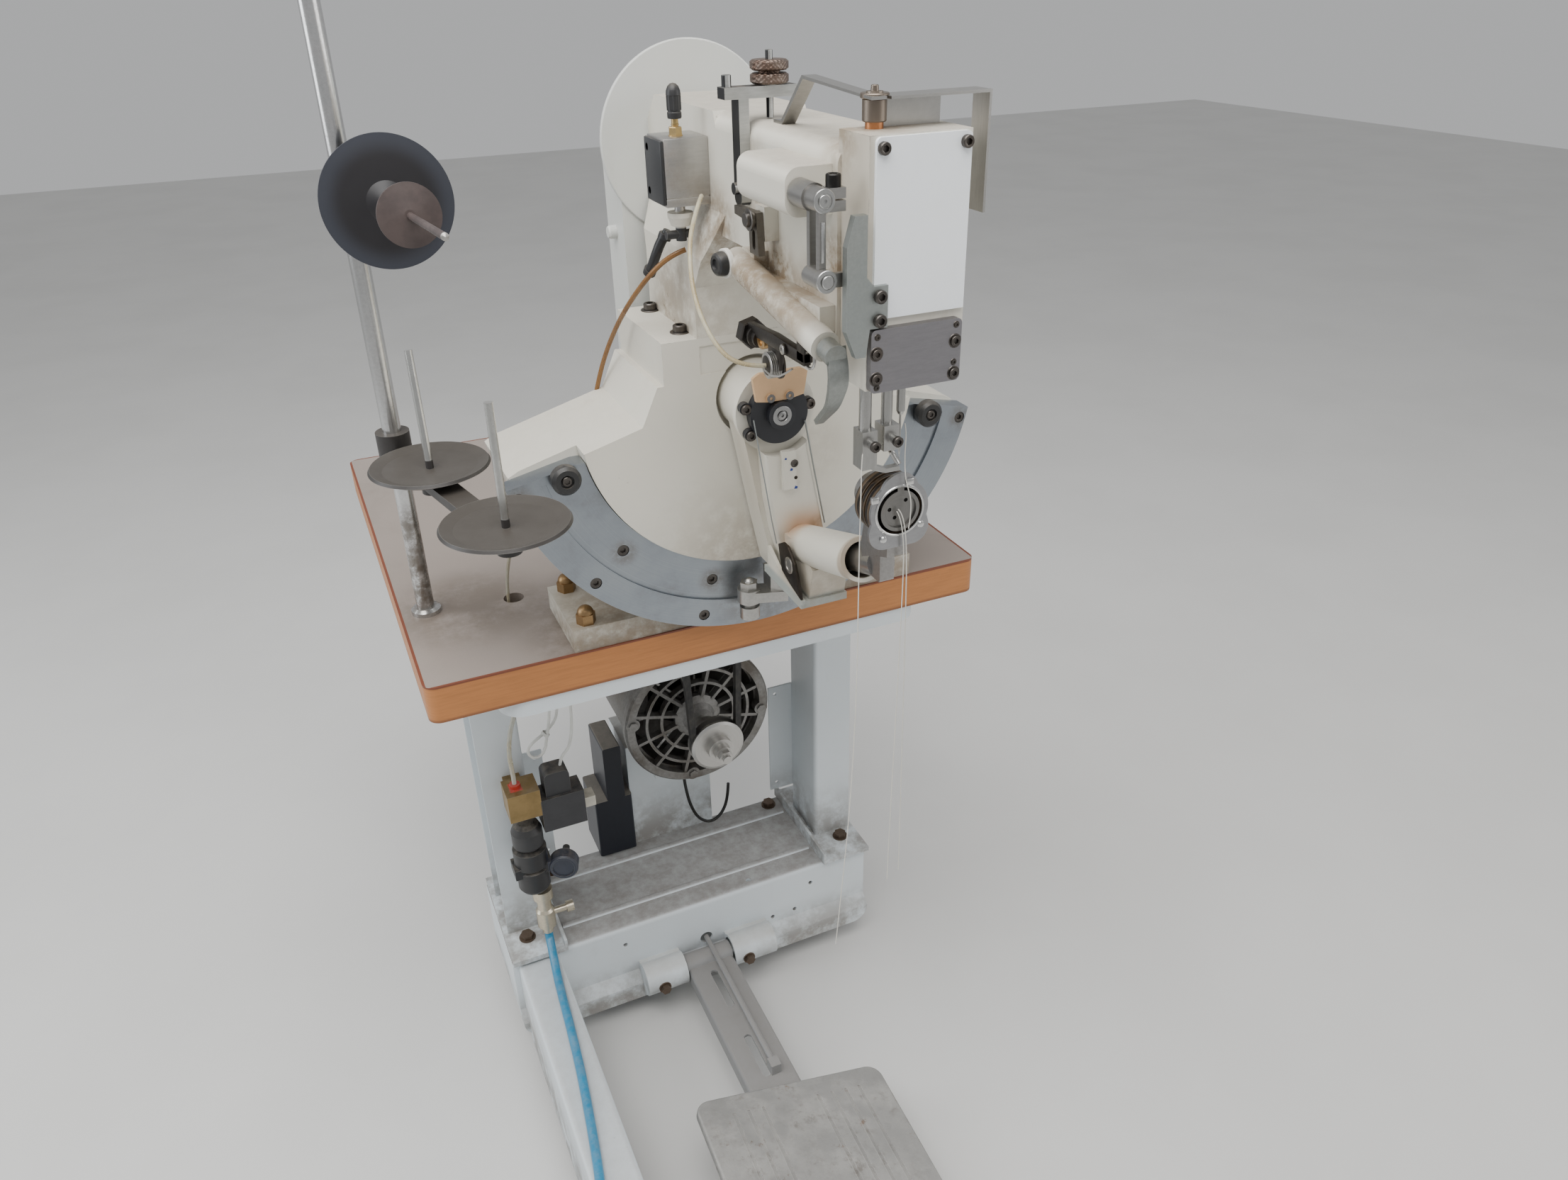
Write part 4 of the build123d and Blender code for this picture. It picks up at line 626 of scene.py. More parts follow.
class Form:
    """One piece of turned, cut and bent shapes in a single mesh; its sizes are in millimetres."""

    def __init__(self):
        self.mesh = bmesh.new()

    def ring(self, centre, first, second, radius, sides):
        """A ring of corners; a negative radius makes it a hexagon of that half width."""
        if radius == 0:
            return [self.mesh.verts.new(centre)]
        made = []
        for i in range(sides):
            turn = math.tau * i / sides
            reach = radius
            if radius < 0:
                reach = -radius / math.cos((turn + math.pi / 6) % (math.pi / 3) - math.pi / 6)
            way = first * math.cos(turn) + second * math.sin(turn)
            made.append(self.mesh.verts.new(centre + way * reach / 1000))
        return made

    def skin(self, rings):
        """Joins each ring to the next with faces."""
        for near, far in zip(rings, rings[1:]):
            a, b = len(near), len(far)
            for i in range(max(a, b)):
                corners = dict.fromkeys((near[i % a], near[(i + 1) % a], far[(i + 1) % b],
                                         far[i % b]))
                if len(corners) > 2:
                    self.mesh.faces.new(list(corners))

    def turned(self, place, axis, *profile, sides=24):
        """A profile of (distance along the axis, radius) pairs, turned about it and closed to it.

        A profile that ends where it starts makes a ring, and one that ends at radius 0 a tip.
        """
        if profile[0] != profile[-1]:
            profile = ((profile[0][0], 0), *profile)
            if profile[-1][1]:
                profile = (*profile, (profile[-1][0], 0))
        start = spot(*place)
        axis = Vector(axis).normalized()
        first = axis.orthogonal().normalized()
        second = axis.cross(first)
        self.skin([self.ring(start + axis * along / 1000, first, second, radius, sides)
                   for along, radius in profile])

    def plate(self, axis, low, high, outline, soft=0.8):
        """A flat outline drawn out from low to high along an axis, its edges softened."""
        places = {"X": lambda a, b, t: spot(t, a, b), "Y": lambda a, b, t: spot(a, t, b),
                  "Z": lambda a, b, t: spot(a, b, t)}[axis]
        near = [self.mesh.verts.new(places(a, b, low)) for a, b in outline]
        far = [self.mesh.verts.new(places(a, b, high)) for a, b in outline]
        faces = [self.mesh.faces.new(near), self.mesh.faces.new(list(reversed(far)))]
        for i in range(len(near)):
            j = (i + 1) % len(near)
            faces.append(self.mesh.faces.new((near[j], near[i], far[i], far[j])))
        if soft:
            edges = list(dict.fromkeys(edge for face in faces for edge in face.edges))
            bmesh.ops.bevel(self.mesh, geom=edges, offset=soft / 1000, segments=2, profile=0.5,
                            affect="EDGES")

    def bent(self, points, radius, sides):
        """A round bar or wire along points."""
        route = [spot(*p) for p in points]
        rings = []
        way = (route[1] - route[0]).normalized()
        first = way.orthogonal().normalized()
        for i, point in enumerate(route):
            ahead = (route[min(i + 1, len(route) - 1)] - route[max(i - 1, 0)]).normalized()
            first = (way.rotation_difference(ahead) @ first).normalized()
            way = ahead
            rings.append(self.ring(point, first, way.cross(first), radius, sides))
        self.skin(rings)
        self.mesh.faces.new(rings[0])
        self.mesh.faces.new(list(reversed(rings[-1])))

    def cap_screw(self, place, axis, head, tall, washer=0):
        """A screw head with a softened rim and a hexagon socket, seated at place."""
        if washer:
            self.turned(place, axis, (0, washer), (0.9, washer), (1.3, washer - 0.4))
        key = -head * 0.5
        self.turned(place, axis, (0, head), (tall - head * 0.14, head), (tall, head * 0.86),
                    (tall, head * 0.62), (tall - 0.2, key), (tall * 0.4, key))

    def done(self, name, finish, body):
        """Turns the form into a piece, sharp where its faces meet at a clear angle."""
        bmesh.ops.recalc_face_normals(self.mesh, faces=self.mesh.faces[:])
        self.mesh.faces.sort(key=lambda face: FACE_ORDER.dot(face.calc_center_median()))
        mesh = bpy.data.meshes.new(name)
        self.mesh.to_mesh(mesh)
        self.mesh.free()
        mesh.shade_smooth()
        mesh.set_sharp_from_angle(angle=math.radians(34))
        return keep(mesh, name, finish, body)


def turned_piece(name, finish, body, slot, place, axis, *profile, sides=24):
    """A piece that is one turned shape."""
    form = Form()
    form.turned(place, axis, *profile, sides=sides)
    return form.done(name, finish, body)


def screwed(name, finish, body, places, head, tall):
    """A piece that is cap screws in a front face."""
    form = Form()
    for place in places:
        form.cap_screw(place, FRONT, head, tall)
    return form.done(name, finish, body)


# Cords, their routes in millimetres and their lengths in metres

HOSE_ROUTE = [(-262, 172, 212), (-262, 172, 202), (-263, 161, 194), (-265, 139, 185),
              (-268, 112, 176.5), (-271, 72, 176.5), (-275, 14, 177.5), (-280, -46, 176.5),
              (-287, -106, 177.5), (-295, -166, 176.5), (-304, -224, 177.5), (-318, -276, 174.5),
              (-334, -314, 138.5), (-350, -340, 88.5), (-368, -358, 40), (-390, -368.5, 12),
              (-418, -371.3, 7)]
COIL_MIDDLE = (-430, -294)
COIL_RADIUS = 64
COIL_TURNS = 5.07
COIL_STEPS = 14
COIL_START = -96
COIL_FLOOR = 6.7
COIL_RISE = 12.15
COIL_LIFT_FROM = 4.8
COIL_END = [(-479.5, -335.5, 76.0), (-489, -321.5, 78.8), (-493.2, -309, 79.7), (-494, -300, 79.7)]


def coil_route():
    """The put-away turns of the hose beside the stand, with its end lifted on to the coupling."""
    points = []
    for i in range(int(COIL_TURNS * COIL_STEPS) + 1):
        turn = i / COIL_STEPS
        angle = math.radians(COIL_START - 360 * turn)
        radius = (COIL_RADIUS + 0.6) / math.cos(math.pi / COIL_STEPS) + 1.2 * math.sin(turn * 2.1)
        height = COIL_FLOOR + COIL_RISE * turn + max(0.0, turn - COIL_LIFT_FROM) * 20
        points.append((COIL_MIDDLE[0] + radius * math.cos(angle),
                       COIL_MIDDLE[1] + radius * math.sin(angle), height))
    return points + COIL_END


class STITCHER_OT_air_hose(bpy.types.Operator):
    """Adds the blue air hose, wound up at its far end"""
    bl_idname = "stitcher.air_hose"
    bl_label = "Air hose"

    def execute(self, context):
        sizes = context.scene.stitcher_sizes
        route = [spot(*p) for p in HOSE_ROUTE + coil_route()]
        blue = hose_blue("hose blue", tuple(context.scene.stitcher_paints.hose))
        hose = soft_line("blue_air_hose", route, sizes.hose, blue, "machine",
                         sizes.smoothness)
        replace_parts(hose, "air_hose", "hose_coil")
        brass = metal("coupling brass", (0.62, 0.44, 0.18), rough=0.26, tarnish=0.25)
        coupling = turned_piece("brass_coupling", brass, "machine", "brass", (-494, -318, 79.7),
                                BACK, (0, 7.4), (1, 8), (3, 8), (3.5, 7.5), (6, 7.5), (6.5, 8),
                                (9, 8), (9.5, 7.5), (12, 7.5), (12.5, 8), (17, 8), (17, -9.2),
                                (27, -9.2), (27, 8.6), (29, 8.6), (29, 11.1), (31, 11.1),
                                (31.5, 10.4), (40, 10.4), (40.5, 11.1), (42.5, 11.1), (43, 8.2),
                                (46, 8.2), (46, 5.6), (49, 5.2), (49.5, 6), (52, 6), (54.4, 4.6),
                                (54.4, 2.6), (44, 2.6))
        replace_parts(coupling, "hose_coupling")
        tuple(route[0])
        return {"FINISHED"}


# Each thin tube: its diameter in millimetres, its length in metres, its colour and its route
THIN_TUBES = {"oil_tube": (5, 0.357, (0.30, 0.15, 0.05),
                           [(-63, -20, 1185), (-78, -16, 1180), (-96, -2, 1160), (-108, 30, 1128),
                            (-114, 72, 1090), (-122, 104, 1046), (-132, 119, 996), (-140, 119, 946),
                            (-146, 117, 896)]),
              "clear_tube": (4, 0.215, (0.62, 0.57, 0.42),
                             [(-60, -62, 1240), (-76, -90, 1235), (-96, -120, 1210),
                              (-104, -150, 1170), (-96, -180, 1135), (-78, -192, 1122),
                              (-58.6, -196, 1121)]), "motor_cable": (5, 0.246, (0.03, 0.03, 0.03),
                                                                     [(-4, 300, 357.6),
                                                                      (-4, 300, 330),
                                                                      (-2, 300, 290), (4, 300, 250),
                                                                      (16, 300, 218),
                                                                      (36, 300, 202),
                                                                      (56, 300, 212),
                                                                      (68, 300, 240),
                                                                      (70, 300, 270)]),
              "valve_tube": (6, 0.256, (0.62, 0.62, 0.56),
                             [(-276, 170, 482), (-276, 170, 502), (-277, 171, 530),
                              (-270, 176, 562), (-254, 184, 592), (-232, 196, 620),
                              (-212, 206, 652), (-202, 210, 690), (-202, 210, 715)]),
              "table_tube": (4, 0.222, (0.62, 0.60, 0.50),
                             [(-250.7, 158, 696), (-250.7, 158, 745), (-247, 156, 800),
                              (-233, 152, 840), (-207, 146, 870), (-177, 138, 888)]),}
CABLE_DIAMETER = 0.004
CABLE_ROUTE = [(-196, 196, 714.8), (-197, 194, 670), (-200, 190, 620), (-204, 186, 578),
               (-207, 185, 558), (-216, 184, 546), (-229, 183, 537), (-244, 182, 529),
               (-252, 181, 520), (-248, 180, 508), (-236, 179, 506), (-228, 178, 518),
               (-225.5, 177.5, 532), (-222, 177, 546), (-218, 176, 566), (-215, 174, 600),
               (-214, 172, 632), (-210, 171, 648), (-202.5, 170, 655), (-195, 169, 648),
               (-191, 168, 632), (-190, 167, 590), (-192, 168, 545), (-199, 169, 516),
               (-211, 170, 505), (-214, 170, 491.6)]


class STITCHER_OT_thin_tubes(bpy.types.Operator):
    """Adds the oil tube, the air tubes, the motor cable and the tied cable under the table"""
    bl_idname = "stitcher.thin_tubes"
    bl_label = "Thin tubes"

    def execute(self, context):
        smoothness = context.scene.stitcher_sizes.smoothness
        for name, (thick, length, colour, route) in THIN_TUBES.items():
            points = [spot(*p) for p in route]
            finish = clear_tube(name.replace("_", " "), colour)
            tube = soft_line("soft_" + name, points, thick / 1000, finish, "machine",
                             smoothness)
            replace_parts(tube, "thin_tubes")
            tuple(points[0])
        pale = plastic("cable white", (0.58, 0.58, 0.55), rough=0.42, dust=0.3)
        points = [spot(*p) for p in CABLE_ROUTE]
        cable = soft_line("tied_cable", points, CABLE_DIAMETER, pale, "machine", 4)
        tie = turned_piece("cable_tie", pale, "machine", "tube", (-226.6, 180.3, 537.6),
                           (9, 0, 10.5), (0, 4.6), (0, 5.6), (4, 5.6), (4, 4.6), (0, 4.6))
        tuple(points[0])
        return {"FINISHED"}


# Each thread: the body that it hangs from, its length in metres and its route
THREADS = {
    "presser_thread": ("presser", 0.515, [
        (-37.4, -333.8, 1086), (-38.8, -335, 1079), (-40, -337, 1050), (-41, -337.4, 990),
        (-41, -337.4, 860), (-46, -337.4, 740), (-54, -337.4, 640), (-60, -337.4, 572)]),
    "front_thread": ("swing_unit", 0.392, [
        (-3, -332.6, 1031), (0, -334.5, 1027), (3.4, -335, 1010), (5.5, -335, 985),
        (6.5, -335, 930), (8, -335, 820), (9.2, -335, 700), (9.6, -335, 640)]),
    "rear_thread": ("swing_unit", 0.40, [
        (-4, -332.4, 1029), (-1.5, -333.6, 1024), (1.6, -334, 1008), (3.6, -333.6, 985),
        (3.2, -333.4, 930), (1.6, -333.2, 820), (-0.8, -333, 700), (-1.6, -333, 630)]),
    "needle_thread": ("needle", 0.09, [
        (2.6, -329, 1103), (3.4, -330.4, 1096), (2.6, -331, 1084), (1.8, -332, 1076),
        (1.6, -334, 1060), (3.4, -336, 1050), (6, -337.4, 1040), (6, -337.8, 1025),
        (4.4, -337.8, 1014)]),
}


class STITCHER_OT_threads(bpy.types.Operator):
    """Adds the waxed threads that hang from the needle, the presser and the bobbin case"""
    bl_idname = "stitcher.threads"
    bl_label = "Threads"

    def execute(self, context):
        thick = context.scene.stitcher_sizes.thread
        finish = waxed_thread("waxed thread", (0.66, 0.64, 0.58))
        for name, (body, length, route) in THREADS.items():
            points = [spot(*p) for p in route]
            thread = soft_line(name, points, thick, finish, body, 3)
            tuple(points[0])
        return {"FINISHED"}


class STITCHER_OT_screws(bpy.types.Operator):
    """Makes the screws of the guide, the flange, the head, the stop knobs and the swing arm"""
    bl_idname = "stitcher.screws"
    bl_label = "Socket screws"

    def execute(self, context):
        steel = metal("screw steel", (0.11, 0.10, 0.092), rough=0.34, tarnish=0.5,
                      stain=(0.10, 0.05, 0.02))
        form = Form()
        for radius, angle in ((212, 15.2), (256, 15.2), (212, 46), (257, 46), (262, 74.8)):
            turn = math.radians(angle)
            for side in (-1, 1):
                place = (side * radius * math.sin(turn), -20,
                         SWING_HEIGHT - radius * math.cos(turn))
                form.turned(place, FRONT, (0, 6.3), (2.7, 6.3), (3, 6), (3, 3.5), (2.8, -2.9),
                            (0.8, -2.9))
        for x in (-67, 67):
            for y in (1, 93):
                form.cap_screw((x, y, 1100), UP, 6.8, 8, washer=10)
        for x, z in ((-37, 1171), (-37, 1152), (30, 1172), (30, 1147)):
            form.turned((x, -352, z), FRONT, (0, 5.6), (0.35, 5.2), (0.35, 4.5), (0.1, 4.4),
                        (0.1, 4), (1.6, 4), (2, 3.6), (2, 2.4), (1.9, -2), (0.4, -2))
        for x, z in ((-36.4, 1183.5), (-36.3, 1145.3), (30.5, 1184.4), (29.8, 1155.6)):
            form.turned((x, -352, z), FRONT, (0, 2.7), (0.3, 2.5), (0.3, 1.9), (0.9, 1.8),
                        (0.9, -1), (0.2, -1))
        for x in (-33, 33):
            form.cap_screw((x, -348, 1313), FRONT, 4.5, 4)
        for z in (1213.5, 1196):
            form.cap_screw((-35.5, -352, z), FRONT, 5, 4)
        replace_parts(form.done("socket_screws", steel, "machine"), "machine_screws")
        screwed("knob_screws", steel, "machine", [(-206, -36.8, 980), (206, -36.8, 980)],
                5.2, 2.6)
        form = Form()
        for x, z in ((-34.5, 1042), (-30, 1014), (34.5, 1037)):
            form.cap_screw((x, -86.8, z), FRONT, 5.2, 3.4)
        form.cap_screw((12.8, -95.8, 980), FRONT, 4.2, 1.4)
        form.done("hub_screws", steel, "swing_unit")
        form = Form()
        for x, z in ((-11, 1052), (9, 1052)):
            form.turned((x, -95.8, z), FRONT, (0, 4.3), (0.6, 4.3), (0.9, 4), (0.9, -1.6),
                        (0.1, -1.6))
        grey = metal("sector screw steel", (0.20, 0.20, 0.20), rough=0.36)
        form.done("sector_screws", grey, "swing_unit")
        ring_steel = metal("hub ring steel", (0.38, 0.38, 0.38), rough=0.26, tarnish=0.15,
                           turned=(SWING_LINE, "Y", 1200.0))
        turned_piece("hub_ring", ring_steel, "swing_unit", "bright", (0, -94.4, SWING_HEIGHT),
                     FRONT, (0, 5.6), (2.4, 5.6), (2.6, 10), (3.1, 10), (3.4, 9.6), (3.4, 6),
                     (2.9, 5.6), (1.2, 5.2), (1.2, 4.4), (2.7, 4.1), (2.9, 3.7), (2.9, -1.6),
                     (1.4, -1.6), sides=36)
        form = Form()
        form.turned((0, -329.8, HOOK_HEIGHT), FRONT, (0, 20.6), (0.9, 20.8), (1.3, 21.4),
                    (1.2, 22.4), (0.6, 23), (0, 23), (0, 20.6), sides=48)
        form.turned((0, -328.4, HOOK_HEIGHT), FRONT, (0, 15.6), (1.6, 15.8), (2, 16.4), (1.8, 17.6),
                    (0, 18), (0, 15.6), sides=48)
        for x, z in ((-24, 1042), (8, 1053)):
            form.plate("Y", -332.4, -330.2,
                       [(x - 3.2, z - 2.7), (x + 3.2, z - 2.7), (x + 3.2, z + 2.7),
                        (x - 3.2, z + 2.7)], soft=0.7)
        for x, z in ((-15, 1005), (20, 1012)):
            form.turned((x, -330, z), FRONT, (0, 3.2), (1.4, 3.2), (2.2, 2.4), (2.6, 0))
        bright = metal("lip steel", (0.66, 0.66, 0.65), rough=0.14, tarnish=0.1)
        form.done("ring_lips", bright, "swing_unit")
        screwed("presser_screw", steel, "presser", [(-29, -337.8, 1092)], 4.4, 3.2)
        screwed("feed_screw", steel, "feed", [(-9, -337.8, 1093)], 4.4, 3.2)
        return {"FINISHED"}


class STITCHER_OT_lifting_cylinder(bpy.types.Operator):
    """Makes the lifting cylinder with its end caps, its brass nut and its silencer"""
    bl_idname = "stitcher.lifting_cylinder"
    bl_label = "Lifting cylinder"

    def execute(self, context):
        body = Form()
        body.plate("Z", 1237.2, 1288, ((-87.5, -46), (-45, -46), (-45, 0), (-87.5, 0)), 1.0)
        body.plate("Z", 1229, 1236.6, ((-87.5, -45.6), (-45, -45.6), (-45, -0.4), (-87.5, -0.4)),
                   0.8)
        body.plate("Z", 1236, 1238, ((-86.8, -45), (-46, -45), (-46, -1), (-86.8, -1)), 0)
        steel = metal("cylinder steel", (0.50, 0.49, 0.475), rough=0.30, brushed=(1.0, 1.0, 7.0),
                      tarnish=0.55, stain=(0.20, 0.14, 0.09))
        cylinder = body.done("cylinder_body", steel, "machine")
        side = Form()
        side.plate("Y", -45.4, -0.6, ((-91, 1231), (-87.2, 1231), (-87.2, 1286.5), (-91, 1286.5)),
                   1.4)
        for z in (1240, 1278):
            side.turned((-90.9, -9, z), LEFT, (0, 3.4), (0.1, 3.4))
        dark = plastic("cylinder side black", (0.022, 0.023, 0.025), rough=0.36, dust=0.25)
        panel = side.done("cylinder_side", dark, "machine")
        fit = Form()
        fit.turned((-70, -30, 1287.8), UP, (0, 6.6), (1, 6.6), (1, -5.6), (7.4, -5.6), (8, -5),
                   (8, 3.2), (9, 3.2), (9.4, 3.7), (10.2, 3.7), (10.6, 3.2), (16, 3.2))
        brass = metal("brass", (0.55, 0.40, 0.19), rough=0.30, tarnish=0.4,
                      stain=(0.20, 0.12, 0.05))
        nut = fit.done("brass_neck", brass, "machine")
        cap = Form()
        cap.turned((-70, -30, 1302.6), UP, (0, 6), (1, 6.5), (5, 6.5), (5.6, 5.9), (7, 5.9),
                   (7.4, 6.3), (19, 6.3), (19.4, 6.7), (23, 6.4), (26.5, 5), (28.6, 2.8), (29.4, 0))
        for i in range(10):
            turn = math.tau * i / 10
            x, y = -70 + 6.1 * math.cos(turn), -30 + 6.1 * math.sin(turn)
            cap.bent([(x, y, 1309.5), (x, y, 1312), (x, y, 1319), (x, y, 1321.5)], 0.75, 6)
        black = plastic("silencer black", (0.016, 0.016, 0.017), rough=0.38, dust=0.4)
        silencer = cap.done("ribbed_silencer", black, "machine")
        for piece in (cylinder, panel, nut, silencer):
            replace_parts(piece, "cylinder_block")
        return {"FINISHED"}


class STITCHER_OT_tension_group(bpy.types.Operator):
    """Makes the thread tension under the arm: discs, plug and guide hook"""
    bl_idname = "stitcher.tension_group"
    bl_label = "Thread tension"

    def execute(self, context):
        dark = metal("tension black steel", (0.075, 0.068, 0.062), rough=0.34, tarnish=0.6,
                     stain=(0.14, 0.09, 0.055))
        silver = metal("tension disc steel", (0.52, 0.51, 0.49), rough=0.26, tarnish=0.45,
                       stain=(0.24, 0.18, 0.11))
        form = Form()
        form.turned((-48, -134.5, 1134), FRONT, (0, -11.4), (0.8, -12), (12, -12), (13, -11),
                    (13, 8.5), (18, 8.5), (18.4, 10), (21, 10), (21.4, 8), (29, 8))
        form.plate("X", -54, -47, ((-262, 1138), (-146, 1136), (-146, 1146), (-200, 1149),
                                   (-262, 1149)), 1.2)
        form.plate("X", -54, -45.2, ((-262, 1140), (-248, 1140), (-248, 1171), (-262, 1171)), 1.2)
        form.plate("X", -52, -47, ((-208, 1118), (-186, 1118), (-184, 1140), (-210, 1140)), 1.2)
        form.turned((-45.5, -196, 1121), LEFT, (0, 13), (2, 13), (2.4, 9), (12.6, 9), (13, 6))
        form.bent([(-50, -226, 1143), (-56, -226, 1143)], 5, 14)
        frame_piece = form.done("tension_frame", dark, "machine")
        discs = Form()
        for i in range(6):
            start = -47.9 - i * 1.75
            discs.turned((start, -196, 1121), LEFT, (0, 10.6), (0.5, 11.6), (1.0, 11.6),
                         (1.5, 10.6))
        discs.turned((-56, -226, 1143), LEFT, (0, 4.2), (1, 4.2), (1.4, 3.4), (1.4, -1.8),
                     (0.4, -1.8))
        disc_piece = discs.done("tension_discs", silver, "machine")
        brass = metal("brass", (0.55, 0.36, 0.17), rough=0.32, tarnish=0.4)
        ring_piece = turned_piece("tension_bush", brass, "machine", "brass", (-46.6, -172, 1136),
                                  LEFT, (0, 8), (6, 8), (6.6, 7.4), (6.6, 5), (5, 4.8))
        hook = Form()
        hook.bent([(-47, -196, 1121), (-60, -196, 1121), (-62, -201, 1119), (-61, -212, 1117),
                   (-58, -222, 1119), (-55, -230, 1124), (-54, -240, 1130)], 0.9, 8)
        loop = [(-51 + 0.4 * i, -262 + 7 * math.sin(math.tau * i / 12),
                 1143 + 7 * math.cos(math.tau * i / 12)) for i in range(11)]
        hook.bent(loop, 1.3, 8)
        hook_piece = hook.done("thread_hook", silver, "machine")
        for piece in (frame_piece, disc_piece, ring_piece, hook_piece):
            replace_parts(piece, "tension_unit")
        return {"FINISHED"}


class STITCHER_OT_head_fittings(bpy.types.Operator):
    """Makes the spring post, the rocker rings, the tube plug and the elbow of the head and arm"""
    bl_idname = "stitcher.head_fittings"
    bl_label = "Head fittings"

    def execute(self, context):
        brown = metal("browned steel", (0.24, 0.20, 0.165), rough=0.34, tarnish=0.6,
                      stain=(0.12, 0.07, 0.04), turned=(spot(-21, -312, 1330), "Z", 1500.0))
        bright = metal("bright ring steel", (0.56, 0.56, 0.55), rough=0.22, tarnish=0.3)
        dark = plastic("fitting black", (0.017, 0.017, 0.018), rough=0.34, dust=0.3)
        turned_piece("spring_post", brown, "machine", "steel", (-21, -312, 1325.6), UP, (0, 8.2),
                     (0.8, 8.8), (14.4, 8.8), (15.2, 8.2))
        copper = metal("copper collar", (0.50, 0.22, 0.10), rough=0.30, tarnish=0.4)
        turned_piece("copper_collar", copper, "machine", "copper_tone", (-21, -312, 1321), UP,
                     (0, 6.6), (5, 6.6))
        turned_piece("spring_eye", brown, "machine", "steel", (-21, -312, 1340.8), UP, (0, 9.8),
                     (0.6, 10.4), (3, 10.4), (3.6, 9.8), (3.6, 6.2), (4.6, 6), (4.6, 3), (8.2, 2.7),
                     (8.6, 2.2), sides=32)
        form = Form()
        form.turned((-72, -335.8, 1280), FRONT, (0, 8.4), (1, 8.4), (1.3, 8), (1.3, 6), (0.5, 5.8),
                    (0.5, 4.8), (1.6, 4.5), (1.9, 4.1), (1.9, -1.5), (0.5, -1.5), sides=32)
        form.turned((-73, -335.8, 1226), FRONT, (0, 7.6), (0.5, 7.6), (0.5, 5), (0, 5), sides=32)
        form.plate("Y", -337.2, -335.6, ((-71.6, 1238), (-74.6, 1238), (-74.2, 1266), (-72, 1266)),
                   0.4)
        form.done("rocker_rings", bright, "rocker")
        form = Form()
        form.cap_screw((-62, -330, 1287.4), UP, 5.5, 9.4)
        black = metal("clamp screw black", (0.035, 0.034, 0.033), rough=0.36)
        form.done("rocker_clamp_screw", black, "rocker")
        turned_piece("link_head", bright, "link", "bright", (-73, -341.8, 1226), FRONT, (0, 8.2),
                     (1, 8.2), (1.4, 7.8), (1.4, 5.6), (0.7, 5.4), (0.7, 4.9), (2.6, 4.7), (3, 4.2),
                     sides=32)
        bolt_steel = metal("bolt steel", (0.15, 0.14, 0.13), rough=0.30, tarnish=0.6)
        turned_piece("slot_lever_bolt", bolt_steel, "slot_lever", "black_steel",
                     (-66.8, -189, 1242), LEFT, (0, 9), (1.2, 9), (1.6, 8.4), (1.6, 6), (4, 5.8),
                     (4.6, 5.2), sides=28)
        boss_enamel = enamel("boss enamel", (0.70, 0.68, 0.63), chips=0.4, grime=0.4)
        turned_piece("tube_boss", boss_enamel, "machine", "cream_paint", (-72, -150, 1200),
                     (-1, -0.16, 0), (0, 12.4), (3.4, 12.4), (4, 11.8), sides=32)
        turned_piece("tube_plug", dark, "machine", "black_plastic", (-76, -150.6, 1200),
                     (-1, -0.16, 0), (0, 10.4), (2, 10.6), (7, 9.4), (8.4, 7.6), (8.4, 5),
                     (6.4, 4.4), sides=28)
        form = Form()
        form.bent([(-78, 0, 1194), (-82, 2, 1186), (-85, 6, 1176), (-87, 12, 1166),
                   (-88, 18, 1158)], 5, 14)
        form.turned((-77.6, -1, 1193), (0.35, -0.2, 0.92), (0, 6.6), (5, 6.6), (5.6, 6), (5.6, 4),
                    (9, 3.6))
        form.turned((-87.6, 16, 1162), (-0.1, 0.6, -0.8), (0, 6.4), (6, 6.4), (7, 5.6))
        form.done("elbow_fitting", dark, "machine")
        return {"FINISHED"}


class STITCHER_OT_swing_details(bpy.types.Operator):
    """Makes the drive wires, the round lever in its hollow of painted shade, the scale hole of
    painted shade and the marks of the swing arm
    """
    bl_idname = "stitcher.swing_details"
    bl_label = "Swing arm details"

    def execute(self, context):
        wire = metal("drive wire steel", (0.32, 0.34, 0.34), rough=0.26, tarnish=0.3)
        form = Form()
        form.bent([(-28.9, -92.6, 1031.9), (-19.6, -93.2, 968.5), (-12.4, -93.4, 920),
                   (-7.6, -93.2, 893)], 0.7, 8)
        form.bent([(26.5, -92.6, 1022.6), (36.1, -93.4, 966.9), (47.9, -93.4, 905.5)], 0.9, 8)
        form.done("drive_wires", wire, "swing_unit")
        # a dark plate stands in as painted shade for the hollow at the elbow, and a dark disc as
        # painted shade for the scale hole
        dark = metal("painted hollow shade", (0.05, 0.042, 0.035), rough=0.40, tarnish=0.6)
        form = Form()
        form.plate("X", -9, -6, ((-100, 896), (-112, 903), (-124, 903), (-140, 890), (-150, 868),
                                 (-154, 856), (-134, 861), (-108, 869)), 0.5)
        form.done("elbow_hollow_shade", dark, "swing_unit")
        lever_steel = metal("round lever steel", (0.36, 0.34, 0.31), rough=0.30, tarnish=0.6)
        turned_piece("round_lever", lever_steel, "swing_unit", "steel", (-8.8, -128, 884), LEFT,
                     (0, 9), (1.2, 9), (1.6, 8.4), (1.6, 5.6), (1.1, 5.4), sides=28)
        blue = plastic("marking blue", (0.012, 0.035, 0.20), rough=0.5, dust=0.1)
        form = Form()
        for x, z, size in ((3.2, 986.4, 1.3), (9.3, 973.8, 1.7), (14.1, 953.4, 2.0)):
            form.plate("Y", -96.25, -95.9,
                       ((x - size, z - size * 0.6), (x + size * 0.7, z - size * 0.8),
                        (x + size, z + size * 0.4), (x - size * 0.3, z + size)), 0)
        form.done("setting_marks", blue, "swing_unit")
        turned_piece("scale_hole_shade", dark, "swing_unit", "black_steel", (14.2, -95.9, 964.2), FRONT,
                     (0, 1.9), (0.3, 1.9))
        return {"FINISHED"}


